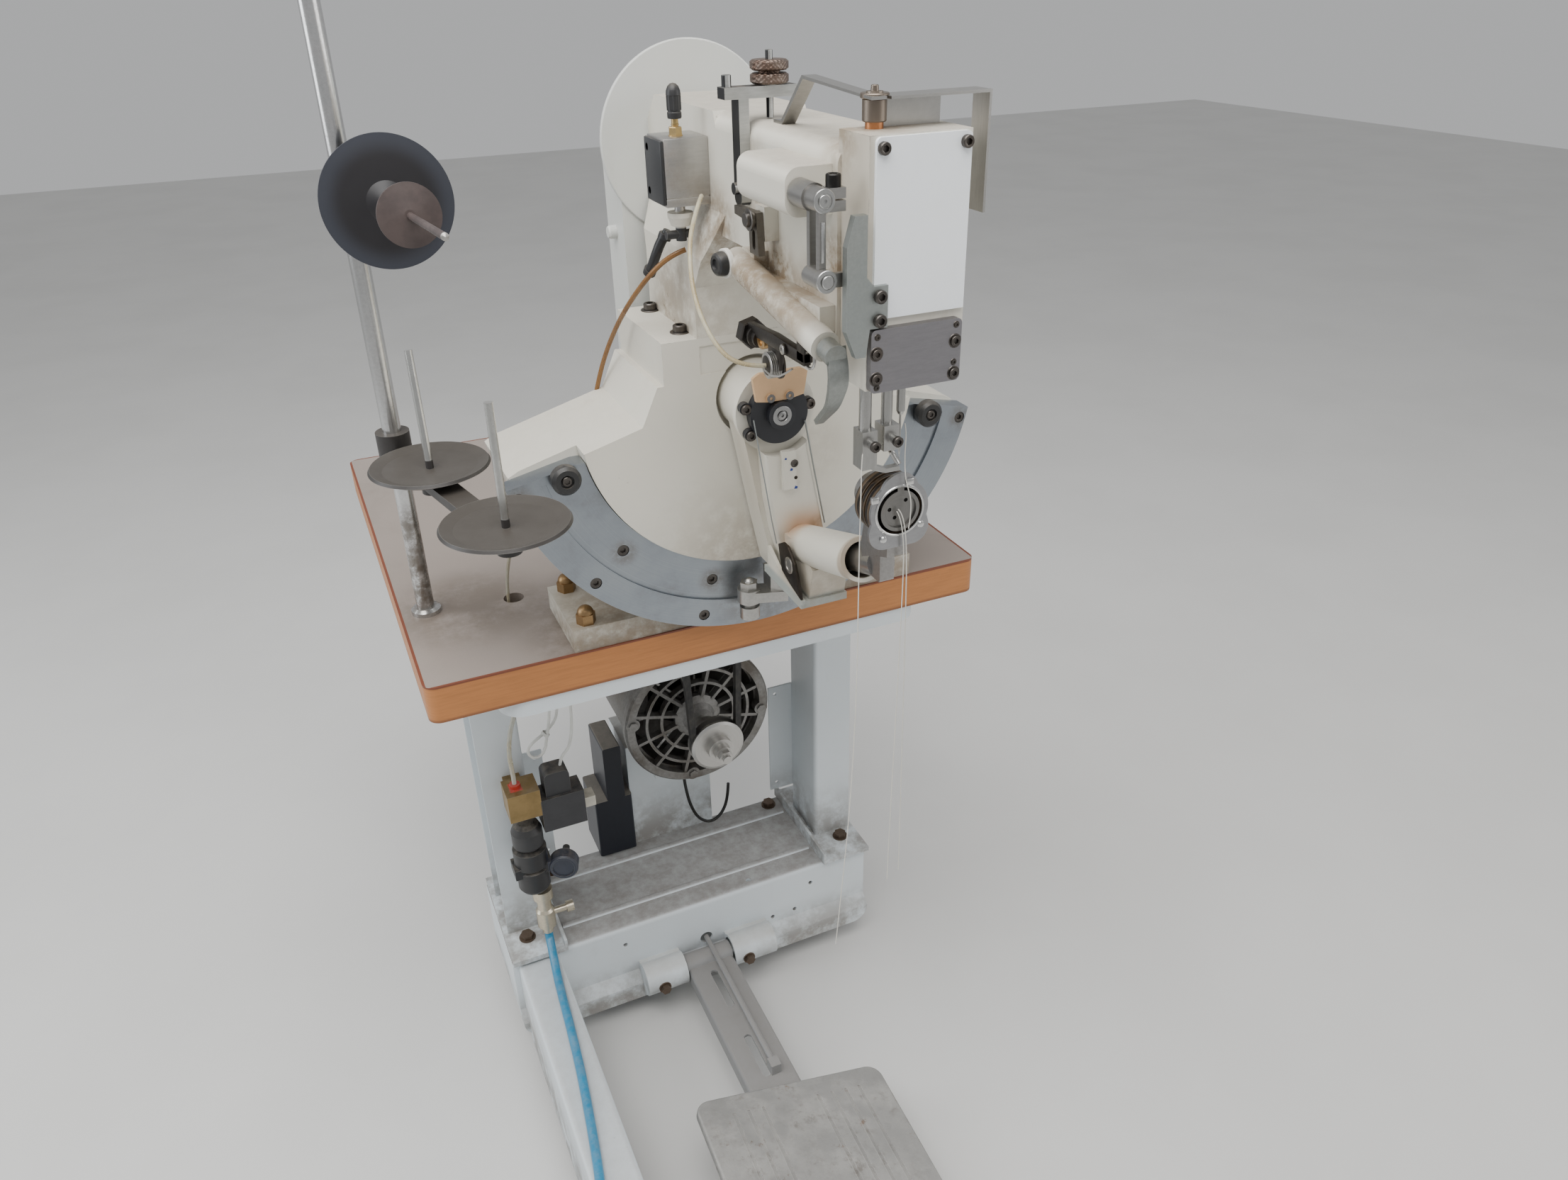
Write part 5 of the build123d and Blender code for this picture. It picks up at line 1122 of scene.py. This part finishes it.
class STITCHER_OT_stand_finishes(bpy.types.Operator):
    """Gives the table, the stand and the treadle their finishes"""
    bl_idname = "stitcher.stand_finishes"
    bl_label = "Table, stand and treadle"

    def execute(self, context):
        paints = context.scene.stitcher_paints
        oily = [(spot(-20, 20, 762), 0.26, 0.9), (spot(-120, 60, 762), 0.16, 0.6),
                (spot(-300, 160, 762), 0.12, 0.5), (spot(60, 320, 762), 0.22, 0.4)]
        dress(laminate_top("table laminate", tuple(paints.laminate), oily), "table_board")
        dress(wood_edging("table edging", tuple(paints.edging)), "table_edging")
        white = tuple(paints.white)
        dress(enamel("stand enamel", white, chips=0.35, grime=0.45, dark_foot=(0.17, 0.30)),
              "stand_frame")
        # the beam's and the rail's upward faces go grey all over: some real dust, and painted shade
        # of top faces that look grey in this light
        grey_dust_and_shade = (0.255, 0.240, 0.225)
        dress(enamel("beam enamel", white, chips=0.5, dust=1.0, grime=0.35, dark_foot=(0.05, 0.12),
                     gloss=0.40, rust=(0.12, 0.07, 0.04), top_layer_tone=grey_dust_and_shade), "base_beam")
        dress(enamel("rail enamel", white, chips=0.5, dust=0.45, grime=0.5, dark_foot=(0.05, 0.16),
                     gloss=0.38, top_layer_tone=grey_dust_and_shade), "left_foot_rail")
        dress(enamel("pedestal enamel", white, chips=0.5, dust=0.7, grime=0.6,
                     dark_foot=(0.18, 0.30)), "motor_pedestal")
        dress(enamel("strap enamel", white, chips=0.6, dust=0.5, grime=0.6, dark_foot=(0.04, 0.13)),
              "pedal_bracket")
        dress(enamel("pedal arm enamel", (0.25, 0.25, 0.25), chips=0.8, dust=0.6, grime=0.7,
                     gloss=0.42, top_layer_tone=(0.21, 0.195, 0.18), rust=(0.42, 0.42, 0.41)),
              "pedal_arm")
        dress(rubbed_iron("treadle iron"), "pedal_plate")
        dress(metal("rusty bolts", (0.17, 0.13, 0.10), rough=0.5, tarnish=0.9,
                    stain=(0.16, 0.065, 0.025), pits=0.6), "stand_bolts")
        dress(plastic("foot rubber", (0.015, 0.015, 0.015), rough=0.6, dust=0.6), "levelling_feet")
        return {"FINISHED"}


class STITCHER_OT_drive_finishes(bpy.types.Operator):
    """Gives the motor, the belt drive and the air group their finishes"""
    bl_idname = "stitcher.drive_finishes"
    bl_label = "Motor, belt and air group"

    def execute(self, context):
        dress(cast_metal("motor casting", (0.19, 0.185, 0.175), oil=0.85), "motor_body")
        dress(cast_metal("end bell casting", (0.27, 0.265, 0.255), oil=0.80, metallic=0.80),
              "motor_end_bell")
        dress(metal("pulley steel", (0.50, 0.49, 0.47), rough=0.32,
                    turned=(spot(0, 151, 473), "Y", 900.0)), "motor_pulley")
        dress(metal("top pulley steel", (0.36, 0.35, 0.33), rough=0.36,
                    turned=(spot(0, 151, 1262), "Y", 900.0)), "top_pulley")
        dress(belt_rubber("belt rubber"), "drive_belt")
        cover = enamel("belt cover enamel", (0.60, 0.61, 0.585), chips=0.35, grime=0.35,
                       marks=[(spot(60, 124, 1190), 0.05, 0.4)])
        dress(cover, "belt_cover")
        dress(enamel("control box enamel", (0.016, 0.018, 0.026), chips=0.5, dust=0.7, grime=0.3,
                     gloss=0.35, rust=(0.15, 0.14, 0.13)), "control_box")
        brass = (0.33, 0.23, 0.105)
        dress(many_part("valve unit", brass, 0.36, 0.95, [
            ((-249, 148, 398), (-189, 192, 456), (0.035, 0.035, 0.038), 0.42, 0.0),
            ((-242, 150, 455), (-204, 190, 494), (0.030, 0.030, 0.032), 0.40, 0.0),
            ((-284, 160, 474), (-268, 180, 484), (0.45, 0.035, 0.02), 0.35, 0.0),
            ((-190.5, 158, 416), (-172, 182, 436), (0.55, 0.52, 0.44), 0.40, 0.0),
        ]), "valve_block")
        black = (0.020, 0.020, 0.021)
        dress(many_part("regulator unit", black, 0.36, 0.0, [
            ((-251, 158, 328), (-243, 176, 342), (0.55, 0.42, 0.22), 0.3, 1.0),
            ((-251, 100, 310), (-190, 167.5, 362), (0.030, 0.034, 0.050), 0.28, 0.0),
        ]), "regulator_body")
        dress(plastic("regulator knob black", black, rough=0.42, dust=0.5), "regulator_knob")
        dress(metal("nickel brass", (0.62, 0.56, 0.44), rough=0.26, tarnish=0.3), "shutoff_valve")
        return {"FINISHED"}


class STITCHER_OT_thread_stand_finishes(bpy.types.Operator):
    """Gives the thread stand, its reel and its dishes their finishes"""
    bl_idname = "stitcher.thread_stand_finishes"
    bl_label = "Thread stand"

    def execute(self, context):
        rod_marks = [(spot(-343, 171, 800), 0.06, 0.9), (spot(-343, 171, 860), 0.05, 0.8)]
        dress(metal("stand rod chrome", (0.66, 0.66, 0.66), rough=0.16, tarnish=0.18,
                    marks=rod_marks, stain=(0.21, 0.105, 0.075)), "thread_rod")
        dress(reel_black("reel disc black"), "reel_disc")
        dress(many_part("dish arm", (0.030, 0.027, 0.026), 0.34, 0.1, [
            ((-327, 78, 978), (-311, 120, 1095), (0.60, 0.60, 0.58), 0.22, 1.0),
            ((-287, -98, 978), (-271, -78, 1095), (0.60, 0.60, 0.58), 0.22, 1.0),
        ], film=0.16), "spool_arm")
        return {"FINISHED"}


class STITCHER_OT_casting_finishes(bpy.types.Operator):
    """Gives the castings, the guide and the plates their finishes"""
    bl_idname = "stitcher.casting_finishes"
    bl_label = "Castings and guide"

    def execute(self, context):
        paints = context.scene.stitcher_paints
        cream = tuple(paints.cream)
        fan_marks = [(spot(-60, -24, 900), 0.07, 0.12), (spot(70, -24, 960), 0.05, 0.15),
                     (spot(-150, 20, 770), 0.12, 0.6), (spot(150, 20, 770), 0.12, 0.6),
                     (spot(0, -10, 790), 0.16, 0.5)]
        # a darker band across the casting's front above the hub
        fan_band = [((-300, -60, 1060), (300, -20, 1100), 0.016, (0.50, 0.47, 0.41), 0.35)]
        dress(enamel("fan casting enamel", cream, chips=0.6, dust=0.30, grime=0.40, marks=fan_marks,
                     dark_foot=(0.765, 0.80), tone_boxes=fan_band), "fan_body")
        arm_marks = [(spot(-44, -60, 1205), 0.06, 0.8), (spot(-60, 20, 1120), 0.09, 0.5),
                     (spot(-45, -200, 1160), 0.08, 0.8), (spot(0, -325, 1141), 0.05, 0.7),
                     (spot(-46, -150, 1262), 0.05, 0.6), (spot(0, 60, 1104), 0.10, 0.6)]
        arm_marks += [(spot(-62, -190, 1196), 0.05, 0.7), (spot(-62, -260, 1182), 0.05, 0.7),
                      (spot(-45, -290, 1230), 0.03, 0.9), (spot(-20, -300, 1321), 0.05, 0.7)]
        # painted shade on the arm's left side faces and on its lower left ledge
        arm_side_shade = [((-46, -400, 1195), (-38, -296, 1330), 0.006, (0.42, 0.36, 0.28), 0.55),
                      ((-46, -330, 1150), (-38, -240, 1225), 0.010, (0.30, 0.24, 0.18), 0.55),
                      ((-80, -300, 1150), (-52, -150, 1190), 0.008, (0.38, 0.32, 0.245), 0.45)]
        dress(enamel("arm casting enamel", shade(cream, 0.97), chips=0.65, dust=0.75, grime=0.60,
                     marks=arm_marks, tone_boxes=arm_side_shade), "arm_casting")
        swing_marks = [(spot(44, -92, 900), 0.022, 0.7), (spot(24, -150, 860), 0.05, 0.35)]
        # a brown stain at the elbow; painted shade on the left flange, on the lower forward part
        # and, grey-green, on the underside; a dark brown band across the front
        swing_stain_and_shade = [((2, -118, 884), (70, -82, 922), 0.016, (0.46, 0.25, 0.12), 0.85),
                        ((-40, -84, 850), (-12, -40, 1020), 0.012, (0.42, 0.37, 0.29), 0.55),
                        ((-60, -300, 840), (80, -96, 905), 0.014, (0.42, 0.37, 0.29), 0.65),
                        ((-60, -262, 890), (80, -246, 980), 0.003, (0.30, 0.21, 0.13), 0.60),
                        ((-60, -200, 830), (80, -60, 857), 0.003, (0.30, 0.34, 0.33), 0.80)]
        dress(enamel("swing arm enamel", cream, chips=0.7, grime=0.35, marks=swing_marks, dust=0.3,
                     tone_boxes=swing_stain_and_shade), "swing_arm")
        dress(enamel("face plate enamel", (0.86, 0.89, 0.92), chips=0.15, grime=0.10, gloss=0.24),
              "face_plate")
        guide_marks = [(spot(x, -24, z), 0.020, 0.55)
                       for x, z in ((-152, 883), (152, 883), (-56, 828), (56, 828),
                                    (-253, 964), (253, 964))]
        guide_marks += [(spot(0, -24, 800), 0.07, 0.45), (spot(120, -24, 810), 0.07, 0.25)]
        dress(metal("guide steel", (0.36, 0.39, 0.42), rough=0.30, tarnish=0.30,
                    stain=(0.15, 0.12, 0.085), marks=guide_marks, turned=(SWING_LINE, "Y", 700.0),
                    cold=(0.27, 0.30, 0.34)), "arc_guide")
        dress(metal("lower plate steel", (0.30, 0.29, 0.305), rough=0.33, brushed=(1.0, 1.0, 5.0),
                    tarnish=0.30, stain=(0.16, 0.135, 0.12)), "lower_plate")
        dress(metal("cam plate steel", (0.42, 0.44, 0.42), rough=0.34, tarnish=0.75,
                    stain=(0.22, 0.19, 0.15), cold=(0.34, 0.38, 0.38)), "cam_plate")
        dress(plastic("knob black", (0.018, 0.018, 0.018), rough=0.35, dust=0.35), "stop_knobs")
        dress(metal("brown brass", (0.34, 0.22, 0.11), rough=0.36, tarnish=0.9,
                    stain=(0.10, 0.055, 0.03)), "cap_nuts")
        return {"FINISHED"}


class STITCHER_OT_small_finishes(bpy.types.Operator):
    """Gives the levers, bars, hook and small steel pieces their finishes"""
    bl_idname = "stitcher.small_finishes"
    bl_label = "Levers, bars and hook"

    def execute(self, context):
        dress(two_faced("bracket steel", (0.028, 0.028, 0.029), (0.50, 0.51, 0.50)),
              "tension_bracket")
        dress(knurled("knurled brown steel", (0.21, 0.165, 0.14)), "thumb_nuts")
        dress(metal("spring steel", (0.46, 0.45, 0.43), rough=0.26, brushed=(1.0, 9.0, 1.0),
                    tarnish=0.4), "leaf_spring", "guard_strip")
        dress(many_part("cylinder rod unit", (0.62, 0.61, 0.60), 0.18, 1.0, [
            ((-84, -44, 1208.5), (-56, -16, 1223), (0.60, 0.57, 0.50), 0.34, 0.0),
            ((-88, -40, 1195), (-56, -20, 1208), (0.022, 0.022, 0.023), 0.38, 0.0),
        ]), "cylinder_rod")
        dress(metal("lever steel", (0.40, 0.39, 0.375), rough=0.30, tarnish=0.6,
                    brushed=(1.0, 1.0, 6.0)), "rocker_lever", "rocker_link")
        dress(metal("lift lever steel", (0.32, 0.335, 0.32), rough=0.36, tarnish=0.55,
                    stain=(0.18, 0.16, 0.12)), "lift_lever")
        dress(metal("slotted lever steel", (0.17, 0.155, 0.135), rough=0.36, tarnish=0.8,
                    stain=(0.10, 0.075, 0.05)), "slotted_lever")
        dress(metal("bar steel", (0.46, 0.455, 0.44), rough=0.22, tarnish=0.15,
                    brushed=(3.0, 3.0, 0.5)), "needle_bar", "presser_bar", "feed_bar")
        dress(plastic("hub black", (0.016, 0.017, 0.021), rough=0.34, dust=0.15), "hub_disc")
        dress(plastic("sector tan", (0.56, 0.36, 0.20), rough=0.42, dust=0.10), "sector_plate")
        dress(metal("clamp steel", (0.44, 0.43, 0.41), rough=0.30, tarnish=0.5), "arc_clamp")
        dress(metal("horn steel", (0.36, 0.35, 0.34), rough=0.24, tarnish=0.25,
                    stain=(0.20, 0.13, 0.08)), "horn")
        dress(metal("ring steel", (0.38, 0.38, 0.39), rough=0.26, brushed=(1.0, 1.0, 3.0),
                    tarnish=0.15), "hook_ring")
        dress(metal("bobbin case steel", (0.24, 0.235, 0.225), rough=0.24, tarnish=0.3,
                    turned=(HOOK_LINE, "Y", 900.0)), "bobbin_case")
        dress(striped_metal("ribbed drum"), "hook_drum")
        return {"FINISHED"}


# Stage

CAMERA_PLACE = spot(-435.5, -1074.7, 1430.0)
CAMERA_LENS = 26.43
CAMERA_RIGHT = Vector((0.91013412, -0.41396350, -0.01703237))
CAMERA_DOWN = Vector((-0.21406648, -0.43465063, -0.87478819))
CAMERA_AHEAD = Vector((0.35472724, 0.79982064, -0.48420608))

FLOOR_HALF = 9
WORLD_COLOUR = (0.92, 0.93, 0.94, 1)
WORLD_LIGHT = 0.52

# Each lamp: its place in metres, its width and height, its power in watts and its tint
LAMPS = {
    "ceiling_light": ((-0.6, -0.9, 3.2), (2.6, 2.2), 112, (1.0, 0.99, 0.97)),
    "window_light": ((-3.0, 0.6, 2.0), (1.8, 2.4), 52, (0.93, 0.97, 1.0)),
    "fill_light": ((2.6, -2.0, 1.8), (2.2, 1.8), 30, (1.0, 0.99, 0.97)),
}
LAMP_AIM = Vector((0, 0, 0.8))


def photo_camera():
    """Puts the camera at the photograph's place and angle."""
    data = bpy.data.cameras.new("camera")
    data.sensor_width = 36
    data.lens = CAMERA_LENS
    data.clip_start = 0.02
    data.clip_end = 60
    camera = bpy.data.objects.new("camera", data)
    bpy.context.scene.collection.objects.link(camera)
    turn = Matrix((CAMERA_RIGHT, -CAMERA_DOWN, -CAMERA_AHEAD)).transposed().to_4x4()
    camera.matrix_world = Matrix.Translation(CAMERA_PLACE) @ turn
    bpy.context.scene.camera = camera


def soft_lamp(name, place, size, power, tint):
    """A rectangular lamp that looks at the machine's middle."""
    data = bpy.data.lights.new(name, "AREA")
    data.shape = "RECTANGLE"
    data.size, data.size_y = size
    data.energy = power
    data.color = tint
    lamp = bpy.data.objects.new(name, data)
    bpy.context.scene.collection.objects.link(lamp)
    lamp.location = place
    lamp.rotation_euler = (LAMP_AIM - Vector(place)).to_track_quat("-Z", "Y").to_euler()


class STITCHER_OT_stage(bpy.types.Operator):
    """Sets up the floor, the soft light and the camera"""
    bl_idname = "stitcher.stage"
    bl_label = "Stage"

    def execute(self, context):
        photo_camera()
        mesh = bpy.data.meshes.new("floor")
        work = bmesh.new()
        bmesh.ops.create_grid(work, x_segments=2, y_segments=2, size=FLOOR_HALF)
        work.to_mesh(mesh)
        work.free()
        floor = bpy.data.objects.new("floor", mesh)
        context.scene.collection.objects.link(floor)
        mesh.materials.append(pale_floor("pale floor"))
        for name, facts in LAMPS.items():
            soft_lamp(name, *facts)
        world = bpy.data.worlds.new("studio")
        world.use_nodes = True
        background = world.node_tree.nodes["Background"]
        background.inputs["Color"].default_value = WORLD_COLOUR
        background.inputs["Strength"].default_value = WORLD_LIGHT
        context.scene.world = world
        return {"FINISHED"}


STEPS = [STITCHER_OT_stage, STITCHER_OT_air_hose, STITCHER_OT_thin_tubes, STITCHER_OT_threads,
         STITCHER_OT_screws, STITCHER_OT_lifting_cylinder, STITCHER_OT_tension_group,
         STITCHER_OT_head_fittings, STITCHER_OT_swing_details, STITCHER_OT_stand_finishes,
         STITCHER_OT_drive_finishes, STITCHER_OT_thread_stand_finishes,
         STITCHER_OT_casting_finishes, STITCHER_OT_small_finishes]


class STITCHER_PT_panel(bpy.types.Panel):
    """Lists the sizes, the colours and the steps that build the dressed machine"""
    bl_label = "Sole stitching machine"
    bl_idname = "STITCHER_PT_panel"
    bl_space_type = "VIEW_3D"
    bl_region_type = "UI"
    bl_category = "Stitcher"

    def draw(self, context):
        for group in (context.scene.stitcher_paints, context.scene.stitcher_sizes):
            box = self.layout.box()
            for name in group.bl_rna.properties.keys():
                if name not in ("rna_type", "name"):
                    box.prop(group, name)
        column = self.layout.column(align=True)
        for step in STEPS:
            column.operator(step.bl_idname)


CLASSES = [StitcherPaints, StitcherSizes] + STEPS + [STITCHER_PT_panel]


def register():
    for made in CLASSES:
        bpy.utils.register_class(made)
    bpy.types.Scene.stitcher_paints = PointerProperty(type=StitcherPaints)
    bpy.types.Scene.stitcher_sizes = PointerProperty(type=StitcherSizes)


def unregister():
    del bpy.types.Scene.stitcher_sizes
    del bpy.types.Scene.stitcher_paints
    for made in reversed(CLASSES):
        bpy.utils.unregister_class(made)


def main():
    register()
    for step in STEPS:
        family, name = step.bl_idname.split(".")
        getattr(getattr(bpy.ops, family), name)()


if __name__ == "__main__":
    main()
